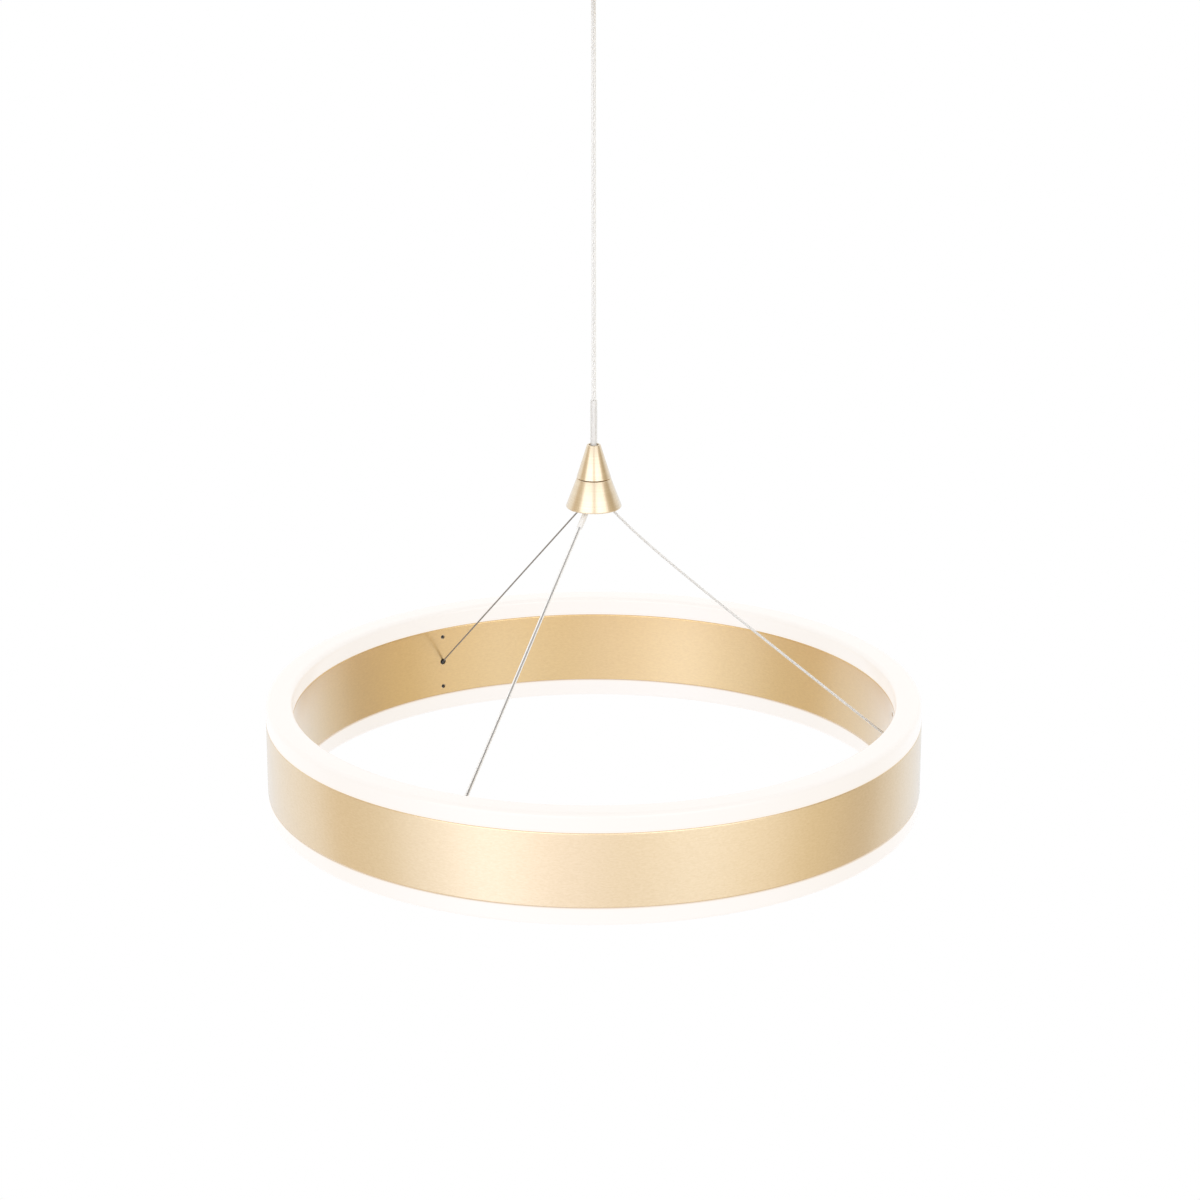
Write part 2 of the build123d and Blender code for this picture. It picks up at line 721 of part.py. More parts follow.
def canopy_cup():
    """Spun cup with a twist lock: it turns on the two side screws, and their
    slots open at its rim."""
    hole, high = stem_d / 2 + free, -cup_ceiling_gap
    cup = spun(
        [
            (hole, cup_floor), (cup_r, cup_floor), (cup_r, high), (cup_r - cup_wall, high),
            (cup_r - cup_wall, cup_floor + cup_wall), (hole, cup_floor + cup_wall),
        ],
        [(1, cup_corner), (4, cup_corner - cup_wall)],
    )
    width = side_screw_d + 2 * free
    lane = section([
        (cup_r - 3 * cup_wall, -ear_hole_drop - width / 2), (cup_r + 3 * cup_wall, -ear_hole_drop - width / 2),
        (cup_r + 3 * cup_wall, -ear_hole_drop + width / 2), (cup_r - 3 * cup_wall, -ear_hole_drop + width / 2),
    ])
    start, end = (cup_r - 3 * cup_wall, 0, -ear_hole_drop), (cup_r + 3 * cup_wall, 0, -ear_hole_drop)
    gate = Pos(cup_r, 0, -ear_hole_drop) * Box(6 * cup_wall, width, 2 * ear_hole_drop, align=BOTTOM)
    for angle in (0, 180):
        cup -= Rot(0, 0, angle) * rod(start, end, width)
        cup -= Rot(0, 0, angle - twist) * revolve(lane, Axis.Z, revolution_arc=twist)
        cup -= Rot(0, 0, angle - twist) * rod(start, end, width)
        cup -= Rot(0, 0, angle - twist) * gate
    return cup


def side_screws():
    """Knurled screws through the cup's slots into the ears."""
    seat = cup_r + free
    screw = rod((plate_r - plate_thick - 1.5, 0, 0), (seat + 1, 0, 0), side_screw_d)
    head = rod((seat, 0, 0), (seat + side_head_length, 0, 0), side_head_d)
    head = chamfer(head.edges().group_by(Axis.X)[-1], side_head_length / 8)
    groove = Rot(45, 0, 0) * Box(side_head_length + 2, 0.8, 0.8, align=(Align.MIN, Align.CENTER, Align.CENTER))
    groove = Pos(seat - 1, 0, side_head_d / 2 + 0.1) * groove
    head -= [Rot(360 / side_grooves * k, 0, 0) * groove for k in range(side_grooves)]
    screw = Pos(0, 0, -ear_hole_drop) * (screw + head)
    return together(around(screw, (0, 180)))


# ---------------------------------------------------------------- parts
pieces = {
    "ceiling_plate": ceiling_plate, "stem_bridge": stem_bridge, "bridge_rivets": bridge_rivets,
    "driver_case": driver_case, "driver_screws": driver_screws,
    "terminal_block": terminal_block, "terminal_screws": terminal_screws,
    "grip_stem": grip_stem, "stem_nuts": stem_nuts, "stem_collar": stem_collar,
    "grip_collet": grip_collet, "inner_cable": inner_cable, "side_screws": side_screws,
    "canopy_cup": canopy_cup, "grip_nut": grip_nut,
    "main_cable": main_cable, "cable_sleeve": cable_sleeve,
    "upper_cone": upper_cone, "cable_end": cable_end, "cable_anchor": cable_anchor,
    "swivel_nut": swivel_nut,
    "lower_cone": lower_cone, "base_plate": base_plate, "rope_stops": rope_stops,
    "power_stop": power_stop, "rear_rope": rear_rope, "coated_rope": coated_rope,
    "power_cable": power_cable, "power_sleeve": power_sleeve, "rope_studs": rope_studs,
    "rope_blocks": rope_blocks, "power_block": power_block, "grommet": grommet,
    "outer_band": outer_band, "inner_band": inner_band, "retainers": retainers,
    "upper_deck": lambda: deck(1), "lower_deck": lambda: deck(-1),
    "upper_diffuser": lambda: diffuser(1), "lower_diffuser": lambda: diffuser(-1),
    "upper_strip": lambda: light_strip(1), "lower_strip": lambda: light_strip(-1),
    "upper_lights": lambda: light_chips(1), "lower_lights": lambda: light_chips(-1),
}

for name, make in pieces.items():
    save(make(), name)
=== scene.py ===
"""Ring pendant lamp: a slim brushed gold ring with a glowing opal edge above
and below, hung by two steel ropes and a power cable from a turned gold cone,
which hangs by one clear cable from its ceiling canopy.

Every length is in metres, with +Z up and the origin on the ceiling. Azimuths
are in degrees about Z: 0 is the right rope's side of the ring.
"""

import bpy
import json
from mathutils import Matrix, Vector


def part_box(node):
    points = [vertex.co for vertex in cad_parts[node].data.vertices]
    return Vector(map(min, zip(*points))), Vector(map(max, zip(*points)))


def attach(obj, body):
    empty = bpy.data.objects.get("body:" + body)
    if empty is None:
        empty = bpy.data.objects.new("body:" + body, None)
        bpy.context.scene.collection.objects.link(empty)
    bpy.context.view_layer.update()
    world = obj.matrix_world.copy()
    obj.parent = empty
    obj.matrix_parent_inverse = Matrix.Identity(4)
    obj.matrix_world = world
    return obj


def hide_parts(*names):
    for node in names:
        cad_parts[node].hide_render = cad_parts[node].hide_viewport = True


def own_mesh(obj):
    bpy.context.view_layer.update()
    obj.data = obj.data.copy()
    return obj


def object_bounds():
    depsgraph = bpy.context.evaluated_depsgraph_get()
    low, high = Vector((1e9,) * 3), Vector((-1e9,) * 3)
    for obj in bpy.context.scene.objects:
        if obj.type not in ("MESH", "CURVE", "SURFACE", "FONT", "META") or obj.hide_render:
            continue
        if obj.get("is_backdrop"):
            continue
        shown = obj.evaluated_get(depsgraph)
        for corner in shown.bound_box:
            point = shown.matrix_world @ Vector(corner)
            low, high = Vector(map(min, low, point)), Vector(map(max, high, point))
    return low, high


bl_info = {
    "name": "LED Ring Pendant",
    "version": (1, 0, 0),
    "blender": (4, 5, 0),
    "location": "3D View > Sidebar > Ring Pendant",
    "description": "Dresses a ring pendant lamp and sets its studio",
    "category": "Add Mesh",
}

import json
from math import acos, atan2, cos, degrees, hypot, pi, radians, sin, sqrt, tan

import bpy
from bpy.props import FloatProperty, FloatVectorProperty, IntProperty, PointerProperty
from mathutils import Matrix, Vector

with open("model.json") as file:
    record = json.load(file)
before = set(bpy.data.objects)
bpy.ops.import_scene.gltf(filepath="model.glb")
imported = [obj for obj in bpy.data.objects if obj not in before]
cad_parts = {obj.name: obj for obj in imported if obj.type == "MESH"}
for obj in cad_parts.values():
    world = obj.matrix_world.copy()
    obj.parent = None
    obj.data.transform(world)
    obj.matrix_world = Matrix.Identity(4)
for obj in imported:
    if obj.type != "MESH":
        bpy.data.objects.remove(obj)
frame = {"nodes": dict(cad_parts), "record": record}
cad_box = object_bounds()

RIGHT, REAR, FRONT = 0, 120, 240  # azimuths of the coated rope, the bare rope and the power cable
MM = 0.001
LENS, FILM = 109.62, 36.0  # millimetres
WHITE = (1.0, 1.0, 1.0, 1.0)
CAMERA_AT = (-0.09155, -2.0984, 0.2859)
LOOKS_AT = (0.003726, -0.00017, -0.4140)
ROPE_LAY = 6.2  # a rope's strands turn once in this many of its diameters
BOW = ((0.06, 0.586), (0.18, 0.983), (0.36, 0.983), (0.567, 0.724), (0.782, 0.397))  # (share of run, of sag)

ring_low, ring_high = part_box("outer_band")
lower_cone_low, lower_cone_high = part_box("lower_cone")
upper_cone_low, upper_cone_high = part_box("upper_cone")
cable_low, cable_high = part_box("main_cable")
sleeve_low, sleeve_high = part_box("cable_sleeve")


# ------------------------------------------------------------------ sizes
def length(name, description, default):
    return FloatProperty(
        name=name, description=description, default=default, min=0.0, unit="LENGTH", precision=5,
    )


def level(name, description, default):
    return FloatProperty(name=name, description=description, default=default, unit="LENGTH", precision=5)


def colour(name, description, default):
    return FloatVectorProperty(
        name=name, description=description, default=default, subtype="COLOR", min=0.0, max=1.0,
    )


class RingSizes(bpy.types.PropertyGroup):
    """The gold ring and its opal edges."""

    radius: length("Radius", "Outside of the outer band", ring_high.x)
    width: length("Width", "Outer face to inner face", 16.4 * MM)
    mid: level("Height", "Middle of the ring, from the ceiling", (ring_low.z + ring_high.z) / 2)
    band: length("Band height", "Height of the gold bands", ring_high.z - ring_low.z)
    outer_wall: length("Outer wall", "Thickness of the outer band", 2.0 * MM)
    inner_wall: length("Inner wall", "Thickness of the inner band", 1.6 * MM)
    edge: length("Rim radius", "Rounding of the bands' rims", 1.1 * MM)
    ledge: length("Ledge", "Depth and thickness of the ledges under the decks", 1.2 * MM)
    cavity: length("Wiring space", "Height between the decks", 14.0 * MM)
    deck: length("Deck", "Thickness of a deck", 1.5 * MM)
    fit: length("Fit", "Clearance between fixed pieces", 0.1 * MM)
    rope_hole: length("Rope hole", "Diameter of the holes for the ropes' studs", 4.0 * MM)
    power_hole: length("Power hole", "Diameter of the power cable's hole", 5.8 * MM)
    screw_hole: length("Screw hole", "Diameter of the holes of the small screws", 2.8 * MM)
    screw_height: length("Screw height", "Small screws above and below the middle", 17.0 * MM)
    screw: length("Screw", "Diameter of a small screw's shank", 1.9 * MM)
    proud: length("Opal height", "Opal above and below the gold", 11.4 * MM)
    inset: length("Opal inset", "Opal's flanks inside the gold's faces", 0.15 * MM)
    cap: length("Opal cap", "Thickness of the opal's crown", 2.8 * MM)
    leg: length("Opal leg", "Thickness of the opal's legs", 2.5 * MM)
    corner: length("Opal corner", "Rounding of the opal's corners", 3.0 * MM)
    turns: IntProperty(name="Facets", description="Facets round the ring", default=512, min=64)


class HubSizes(bpy.types.PropertyGroup):
    """The two cones that turn on each other."""

    base: length("Base radius", "Lower cone's foot", 17.0 * MM)
    split: length("Split radius", "Where the cones meet", 10.3 * MM)
    top: length("Top radius", "Upper cone's top", 4.0 * MM)
    low: level("Underside", "Lower cone's underside, from the ceiling", lower_cone_low.z)
    lower_height: length("Lower height", "Height of the lower cone", lower_cone_high.z - lower_cone_low.z)
    gap: length("Gap", "Between the two cones", 0.5 * MM)
    high: level("Top", "Upper cone's top, from the ceiling", upper_cone_high.z)
    shank_low: level("Shank end", "Lower end of the swivel's shank, from the ceiling", upper_cone_low.z)
    foot_round: length("Foot rounding", "Radius of the foot's rim", 0.7 * MM)
    edge: length("Edge rounding", "Radius of the cones' other rims", 0.25 * MM)
    plate: length("Base plate radius", "Drilled plate in the foot", 12.5 * MM)
    plate_depth: length("Base plate seat", "Depth of the foot's recess", 5.0 * MM)
    hollow: length("Hollow radius", "Inside of the lower cone", 9.5 * MM)
    floor: length("Top plate", "Metal over the lower cone's hollow", 3.2 * MM)
    shank: length("Shank radius", "Swivel's shank", 6.0 * MM)
    shank_bore: length("Shank bore", "Radius of the bore in the shank", 4.6 * MM)
    mouth: length("Mouth radius", "Hole at the top, for the sleeve", 2.95 * MM)
    mouth_depth: length("Mouth depth", "Depth of that hole", 5.0 * MM)
    shelf: length("Shelf", "Metal between mouth and bore", 6.4 * MM)
    cable_bore: length("Cable bore", "Radius of the cable's hole", 1.5 * MM)


class WireSizes(bpy.types.PropertyGroup):
    """The thin wires and the cable above them."""

    rope: length("Rope", "Diameter of the bare rope", 1.0 * MM)
    coated: length("Coated rope", "Diameter over the clear coat", 1.6 * MM)
    power: length("Power cable", "Diameter over the clear jacket", 2.2 * MM)
    braid: length("Braid", "Diameter of the power cable's braided core", 0.9 * MM)
    braid_shift: length("Braid shift", "How far the braid lies off its jacket's middle", 0.12 * MM)
    sleeve: length("Power sleeve", "Diameter of the milky sleeve at the cone", 3.4 * MM)
    sleeve_reach: length("Power sleeve length", "End to end", 17.0 * MM)
    power_end: length("Power end", "How far the power cable goes on inside the ring", 6.9 * MM)
    stop: length("Stop", "How much wider a wire's stop is than the wire", 1.8 * MM)
    stop_seat: length("Stop seat", "How deep a stop sits over the hub's underside", 0.8 * MM)
    fit: length("Fit", "Clearance round a wire, and the bevel of thin ends", 0.1 * MM)
    exit_radius: length("Exit radius", "Where the wires leave the cone", 9.0 * MM)
    landing: length("Landing", "Where they aim, behind the inner face", 0.5 * MM)
    coat: length("Coat", "Thickness of the rope's clear coat", 0.18 * MM)
    sag: length("Sag", "Bow of the coated rope", 2.9 * MM)
    crimp: length("Crimp", "How far a stud's crimp reaches up its rope", 2.4 * MM)
    ball: length("Stud ball", "Diameter of a stud's ball", 2.7 * MM)
    shank: length("Stud shank", "Diameter of a stud's shank", 1.8 * MM)
    stud: length("Stud length", "Length of a stud's shank", 7.0 * MM)
    main: length("Main cable", "Diameter over the clear jacket", cable_high.x - cable_low.x)
    main_core: length("Core", "Diameter of one core in the main cable", 1.12 * MM)
    main_lay: length("Core lay", "One turn of the main cable's twisted cores", 9.2 * MM)


class Finishes(bpy.types.PropertyGroup):
    """Colours of the lamp's finishes."""

    gold: colour("Gold", "Brushed gold outside the ring", (0.86, 0.655, 0.375))
    # painted shade: the same brushed gold as outside, made darker and deeper in colour for the shade and
    # warm reflections inside the ring
    gold_inner: colour("Inner gold", "Brushed gold inside the ring", (0.75, 0.49, 0.145))
    gold_pale: colour("Pale gold", "Turned gold of the cones", (0.86, 0.71, 0.50))
    opal: colour("Opal", "Unlit opal acrylic", (0.27, 0.262, 0.253))
    glow: colour("Glow", "Light through the opal", (1.0, 0.95, 0.91))
    glow_strength: FloatProperty(
        name="Glow strength", description="Brightness of the lit opal", default=0.665, min=0.0,
    )
    steel: colour("Steel", "Bare wire rope", (0.40, 0.365, 0.335))
    # partly painted highlight: pale steel with little metallic, so that the core reads as one bright line
    bright_steel: colour("Bright steel", "Wire rope under the clear coat", (0.92, 0.905, 0.88))
    braid: colour("Braid", "Braid under the power cable's jacket", (0.24, 0.215, 0.185))
    cores: colour("Cores", "Twisted cores in the main cable", (0.97, 0.96, 0.94))
    clear: colour("Clear plastic", "Haze of the jackets", (0.97, 0.965, 0.955))
    sleeve: colour("Sleeve plastic", "Haze of the main cable's sleeve", (0.90, 0.885, 0.86))
    ivory: colour("Ivory plastic", "Milky sleeve of the power cable", (0.94, 0.925, 0.90))
    # partly painted shade: blackened screws, and the studs and rope blocks given the same dark so that their
    # holes read shaded
    black: colour("Black", "Blackened screws, studs and rope blocks", (0.035, 0.032, 0.03))


# ------------------------------------------------------------------ meshes
def arc(centre, radius, start, end, steps=8):
    """Points on an arc in the (radius, height) plane; angles in degrees."""
    x, z = centre
    angles = [radians(start + (end - start) * k / steps) for k in range(steps + 1)]
    return [(x + radius * cos(angle), z + radius * sin(angle)) for angle in angles]


def mesh_from(points, faces, uvs=None):
    mesh = bpy.data.meshes.new("Mesh")
    mesh.from_pydata(points, [], faces)
    if uvs:
        layer = mesh.uv_layers.new(name="Along")
        for loop, uv in zip(layer.data, (uv for face in uvs for uv in face)):
            loop.uv = uv
    mesh.validate()
    return mesh


def smooth(mesh, angle=32):
    mesh.shade_smooth()
    mesh.set_sharp_from_angle(angle=radians(angle))
    return mesh


def spun(outline, turns):
    """The points of a (radius, height) outline at every step round Z."""
    angles = [2 * pi * k / turns for k in range(turns)]
    return [(r * cos(angle), r * sin(angle), z) for angle in angles for r, z in outline]


def lathe(outline, turns):
    """A closed (radius, height) outline spun about Z."""
    count = len(outline)
    faces = []
    for k in range(turns):
        here, there = k * count, (k + 1) % turns * count
        for j in range(count):
            ahead = (j + 1) % count
            faces.append((here + j, there + j, there + ahead, here + ahead))
    mesh = mesh_from(spun(outline, turns), faces)
    area = sum(a[0] * b[1] - b[0] * a[1] for a, b in zip(outline, outline[1:] + outline[:1]))
    if area < 0:
        mesh.flip_normals()
    return smooth(mesh)


def pointing(origin, direction):
    """Turns +Z to a direction and moves it to an origin."""
    return Matrix.Translation(origin) @ Vector(direction).to_track_quat("Z", "Y").to_matrix().to_4x4()


def turned(outline, origin, direction, turns=48):
    """A solid spun about a line, from (radius, distance) points that start
    and end on the line."""
    count = len(outline) - 2
    points = [(0, 0, outline[0][1]), *spun(outline[1:-1], turns), (0, 0, outline[-1][1])]
    faces = []
    for k in range(turns):
        here, there = 1 + k * count, 1 + (k + 1) % turns * count
        faces += [(here + j, there + j, there + j + 1, here + j + 1) for j in range(count - 1)]
        faces += [(0, there, here), (here + count - 1, there + count - 1, len(points) - 1)]
    mesh = mesh_from(points, faces)
    mesh.transform(pointing(origin, direction))
    return smooth(mesh)


def rod(start, end, diameter):
    start, end, radius = Vector(start), Vector(end), diameter / 2
    reach = (end - start).length
    return turned([(0, 0), (radius, 0), (radius, reach), (0, reach)], start, end - start)


def route(points, resolution):
    """Points on the smooth line of a cord's route, start to end. resolution
    is how finely each stretch of it is divided."""
    data = bpy.data.curves.new("Route", "CURVE")
    data.dimensions = "3D"
    spline = data.splines.new("NURBS")
    spline.points.add(len(points) - 1)
    for place, point in zip(spline.points, points):
        place.co = (*point, 1.0)
    spline.order_u = 3
    spline.use_endpoint_u = True
    spline.resolution_u = resolution
    curve = bpy.data.objects.new("Route", data)
    line = bpy.data.meshes.new_from_object(curve)
    found = [vertex.co.copy() for vertex in line.vertices]
    bpy.data.objects.remove(curve)
    bpy.data.curves.remove(data)
    bpy.data.meshes.remove(line)
    return found


def sweep(line, outline, lay=0.0, phase=0.0, centre=(0.0, 0.0)):
    """An outline of (angle, radius) points carried along a line and turned
    once every lay. centre moves it off the line, so that strands wind round
    it."""
    count = len(outline)
    points, along = [], [0.0]
    for a, b in zip(line, line[1:]):
        along.append(along[-1] + (b - a).length)
    side = (line[1] - line[0]).orthogonal().normalized()
    for k, place in enumerate(line):
        ahead = (line[min(k + 1, len(line) - 1)] - line[max(k - 1, 0)]).normalized()
        side = (side - ahead * side.dot(ahead)).normalized()
        across = ahead.cross(side)
        turn = phase + (2 * pi * along[k] / lay if lay else 0.0)
        shift_x = centre[0] * cos(turn) - centre[1] * sin(turn)
        shift_y = centre[0] * sin(turn) + centre[1] * cos(turn)
        for angle, radius in outline:
            x = shift_x + radius * cos(angle + turn)
            y = shift_y + radius * sin(angle + turn)
            points.append(place + side * x + across * y)
    faces, uvs = [], []
    for k in range(len(line) - 1):
        here, there = k * count, (k + 1) * count
        for j in range(count):
            ahead, left, right = (j + 1) % count, j / count, (j + 1) / count
            faces.append((here + j, here + ahead, there + ahead, there + j))
            uvs.append(((left, along[k]), (right, along[k]), (right, along[k + 1]), (left, along[k + 1])))
    last = (len(line) - 1) * count
    faces += [tuple(reversed(range(count))), tuple(range(last, last + count))]
    uvs += [((0, 0),) * count, ((0, along[-1]),) * count]
    return smooth(mesh_from(points, faces, uvs), 60)


def circle(diameter, count=24):
    return [(2 * pi * k / count, diameter / 2) for k in range(count)]


def rope_section(diameter):
    """Outline of six round strands laid round a core."""
    strands, steps = 6, 6
    offset, strand, count = diameter / 3, diameter / 6, strands * steps
    outline = []
    for k in range(count):
        away = (k % steps - (steps - 1) / 2) * 2 * pi / count
        rise = sqrt(max(strand**2 - (offset * sin(away))**2, 0.0))
        outline.append((2 * pi * k / count, offset * cos(away) + rise))
    return outline


def merged(meshes, angle=32):
    """One mesh from several, with their uv maps where they have them."""
    points, faces, uvs = [], [], []
    for mesh in meshes:
        start = len(points)
        points += [vertex.co.copy() for vertex in mesh.vertices]
        faces += [tuple(start + v for v in face.vertices) for face in mesh.polygons]
        for layer in mesh.uv_layers:
            uvs += [tuple(tuple(layer.data[i].uv) for i in face.loop_indices) for face in mesh.polygons]
        bpy.data.meshes.remove(mesh)
    return smooth(mesh_from(points, faces, uvs), angle)


def drilled(mesh, cutters):
    """The mesh with the cutters' space taken out."""
    body = bpy.data.objects.new("Body", mesh)
    tool = bpy.data.objects.new("Cutter", merged(cutters))
    for thing in (body, tool):
        bpy.context.scene.collection.objects.link(thing)
    cut = body.modifiers.new("Holes", "BOOLEAN")
    cut.operation, cut.solver, cut.object = "DIFFERENCE", "EXACT", tool
    bpy.context.view_layer.update()
    cut_body = body.evaluated_get(bpy.context.evaluated_depsgraph_get())
    result = bpy.data.meshes.new_from_object(cut_body)
    for thing in (body, tool):
        data = thing.data
        bpy.data.objects.remove(thing)
        bpy.data.meshes.remove(data)
    return smooth(result)


def piece(name, mesh, body, slot, replaced=(), finish=None):
    """Puts a mesh in the scene as a piece that rides on a body."""
    mesh.name = name
    thing = bpy.data.objects.new(name, mesh)
    bpy.context.scene.collection.objects.link(thing)
    mesh.materials.clear()
    mesh.materials.append(material(finish or slot))
    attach(thing, body)
    if replaced:
        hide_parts(*replaced)
    return thing


# ------------------------------------------------------------------ shader helpers
def node(tree, kind, values=None, **settings):
    """Adds a shader node. values fills its inputs: a socket is linked, and
    anything else is set."""
    made = tree.nodes.new(kind)
    for name, value in settings.items():
        setattr(made, name, value)
    for key, value in (values or {}).items():
        if isinstance(value, bpy.types.NodeSocket):
            tree.links.new(value, made.inputs[key])
        else:
            made.inputs[key].default_value = value
    return made


def maths(tree, operation, first, second=0.0, clamp=False):
    made = node(tree, "ShaderNodeMath", {0: first, 1: second}, operation=operation, use_clamp=clamp)
    return made.outputs[0]


def plus(tree, first, second, clamp=False):
    return maths(tree, "ADD", first, second, clamp)


def times(tree, first, second):
    return maths(tree, "MULTIPLY", first, second)


def spot(tree, kind="Object"):
    """Where a point lies, in this kind of coordinates."""
    return node(tree, "ShaderNodeTexCoord").outputs[kind]


def apart(tree, vector):
    return node(tree, "ShaderNodeSeparateXYZ", {0: vector}).outputs


def noise(tree, place, scale, detail, rough=0.5):
    inputs = {"Vector": place, "Scale": scale, "Detail": detail, "Roughness": rough}
    return node(tree, "ShaderNodeTexNoise", inputs).outputs[0]


def ranged(tree, value, start, end, low=0.0, high=1.0):
    """Runs from low to high as a value runs from start to end."""
    inputs = {"Value": value, "From Min": start, "From Max": end, "To Min": low, "To Max": high}
    return node(tree, "ShaderNodeMapRange", inputs).outputs["Result"]


def mixed(tree, share, first, second):
    """A colour between two colours."""
    return node(tree, "ShaderNodeMix", {0: share, 6: first, 7: second}, data_type="RGBA").outputs[2]


def span(tree, value, low, high):
    """Runs from low to high as a value runs from 0 to 1."""
    return ranged(tree, value, 0.0, 1.0, low, high)


def solid(rgb):
    return (*rgb, 1.0)


def dimmed(rgb, share):
    return tuple(share * channel for channel in rgb)


def new_group(name, inputs, outputs):
    """An empty shader group with float inputs and outputs."""
    tree, kind = bpy.data.node_groups.new(name, "ShaderNodeTree"), "NodeSocketFloat"
    for label, default in inputs:
        tree.interface.new_socket(label, in_out="INPUT", socket_type=kind).default_value = default
    for label in outputs:
        tree.interface.new_socket(label, in_out="OUTPUT", socket_type=kind)
    return tree, tree.nodes.new("NodeGroupInput"), tree.nodes.new("NodeGroupOutput")


def group(tree, effect, **values):
    """Places a shared effect in a material; it is built the first time."""
    made, name = tree.nodes.new("ShaderNodeGroup"), effect.__name__.replace("_", " ").capitalize()
    if name not in bpy.data.node_groups:
        effect(name)
    made.node_tree = bpy.data.node_groups[name]
    for key, value in values.items():
        made.inputs[key.replace("_", " ")].default_value = value
    return made.outputs


def turning_marks(name):
    """Fine lines round Z, as brushing and turning leave them."""
    inputs = [("Along", 14.0), ("Across", 5200.0), ("Detail", 3.0)]
    tree, given, out = new_group(name, inputs, ["Marks", "Bands"])
    place = apart(tree, spot(tree))
    squares = plus(tree, maths(tree, "POWER", place[0], 2.0), maths(tree, "POWER", place[1], 2.0))
    radius = maths(tree, "SQRT", squares)
    across = times(tree, plus(tree, place[2], times(tree, radius, 0.6)), given.outputs["Across"])
    x = times(tree, place[0], given.outputs["Along"])
    y = times(tree, place[1], given.outputs["Along"])
    fine = node(tree, "ShaderNodeCombineXYZ", {0: x, 1: y, 2: across}).outputs[0]
    broad = node(tree, "ShaderNodeCombineXYZ", {0: x, 1: y, 2: times(tree, across, 0.09)}).outputs[0]
    tree.links.new(noise(tree, fine, 1.0, given.outputs["Detail"], 0.6), out.inputs["Marks"])
    tree.links.new(noise(tree, broad, 1.0, 2.0), out.inputs["Bands"])


def handling(name):
    """Soft smudges and a few fine specks, as handled metal and plastic have."""
    inputs = [("Smudge Scale", 18.0), ("Speck Scale", 900.0)]
    tree, given, out = new_group(name, inputs, ["Smudges", "Specks"])
    place = spot(tree)
    specks = ranged(tree, noise(tree, place, given.outputs[1], 1.0), 0.62, 0.78)
    tree.links.new(noise(tree, place, given.outputs[0], 4.0, 0.55), out.inputs["Smudges"])
    tree.links.new(specks, out.inputs["Specks"])


def grain(name):
    """The fine skin of moulded plastic and fired coating."""
    tree, given, out = new_group(name, [("Scale", 2600.0)], ["Height"])
    tree.links.new(noise(tree, spot(tree), given.outputs[0], 2.0), out.inputs["Height"])


def lay_of_wires(name):
    """Crossing or single-handed wires round a cord, from how far along it
    and round it a point lies."""
    inputs = [("Starts", 8.0), ("Turn Length", 0.006), ("Crossed", 1.0)]
    tree, given, out = new_group(name, inputs, ["Wires"])
    uv = apart(tree, spot(tree, "UV"))
    turn = maths(tree, "DIVIDE", uv[1], given.outputs["Turn Length"])
    waves = []
    for hand in (1.0, -1.0):
        phase = times(tree, plus(tree, uv[0], times(tree, turn, hand)), given.outputs["Starts"])
        waves.append(maths(tree, "ABSOLUTE", maths(tree, "SINE", times(tree, phase, pi))))
    single = maths(tree, "SUBTRACT", 1.0, given.outputs["Crossed"])
    wires = maths(tree, "MINIMUM", waves[0], maths(tree, "MAXIMUM", waves[1], single))
    tree.links.new(wires, out.inputs["Wires"])


def new_material(name, **constants):
    """A material with its Principled shader. constants are set on the
    shader's own sockets."""
    made = bpy.data.materials.new(name)
    made.use_nodes = True
    tree = made.node_tree
    shader = tree.nodes["Principled BSDF"]
    for key, value in constants.items():
        shader.inputs[key.replace("_", " ")].default_value = value
    return made, tree, shader


def wire_up(tree, shader, **sockets):
    for key, socket in sockets.items():
        tree.links.new(socket, shader.inputs[key.replace("_", " ")])


def bump(tree, height, distance):
    inputs = {"Height": height, "Distance": distance, "Strength": 1.0}
    return node(tree, "ShaderNodeBump", inputs).outputs["Normal"]


def looks():
    return bpy.context.scene.pendant_finishes


# ------------------------------------------------------------------ finishes
def gold(name, light, along, across, spread, depth, coat, blur=0.12, sheen=0.0):
    """Brushed or turned gold. along and across are how fine the marks are to
    a metre, spread is how much wider a highlight is across the marks than
    along them, blur is the lacquer's, and sheen pales it towards its
    outlines."""
    made, tree, shader = new_material(
        name, Metallic=1.0, Anisotropic=spread, Anisotropic_Rotation=0.25,
        Coat_Weight=coat, Coat_Roughness=blur, Coat_IOR=2.6, Sheen_Weight=sheen, Sheen_Roughness=0.4,
    )
    marks, touched = group(tree, turning_marks, Along=along, Across=across), group(tree, handling)
    streaks = ranged(tree, marks["Marks"], 0.35, 0.65)
    specks, smudges = touched["Specks"], touched["Smudges"]
    share = plus(tree, times(tree, streaks, 0.55), times(tree, specks, 0.25), clamp=True)
    deep = (0.88 * light[0], 0.84 * light[1], 0.76 * light[2])
    rough = span(tree, marks["Bands"], 0.28, 0.38)
    wire_up(
        tree, shader,
        Base_Color=mixed(tree, share, solid(light), solid(deep)),
        Roughness=plus(tree, rough, times(tree, smudges, 0.05)),
        Normal=bump(tree, marks["Marks"], depth),
        Tangent=node(tree, "ShaderNodeTangent", direction_type="RADIAL", axis="Z").outputs[0],
    )
    return made


def brushed(name, light, sheen):
    """The ring's gold, brushed round it."""
    return gold(name, light, 420.0, 1300.0, spread=0.5, depth=0.012 * MM, coat=1.0, blur=0.2, sheen=sheen)


def gold_band(name):
    return brushed(name, looks().gold, 0.1)


# painted shade: the outer band's gold, darkened and deepened for the inside of the ring
def gold_inner(name):
    return brushed(name, looks().gold_inner, 1.0)


def gold_turned(name):
    return gold(name, looks().gold_pale, 40.0, 1500.0, spread=0.85, depth=0.04 * MM, coat=0.8)


def gold_cup(name):
    return gold(name, looks().gold, 300.0, 1300.0, spread=0.5, depth=0.012 * MM, coat=0.8)


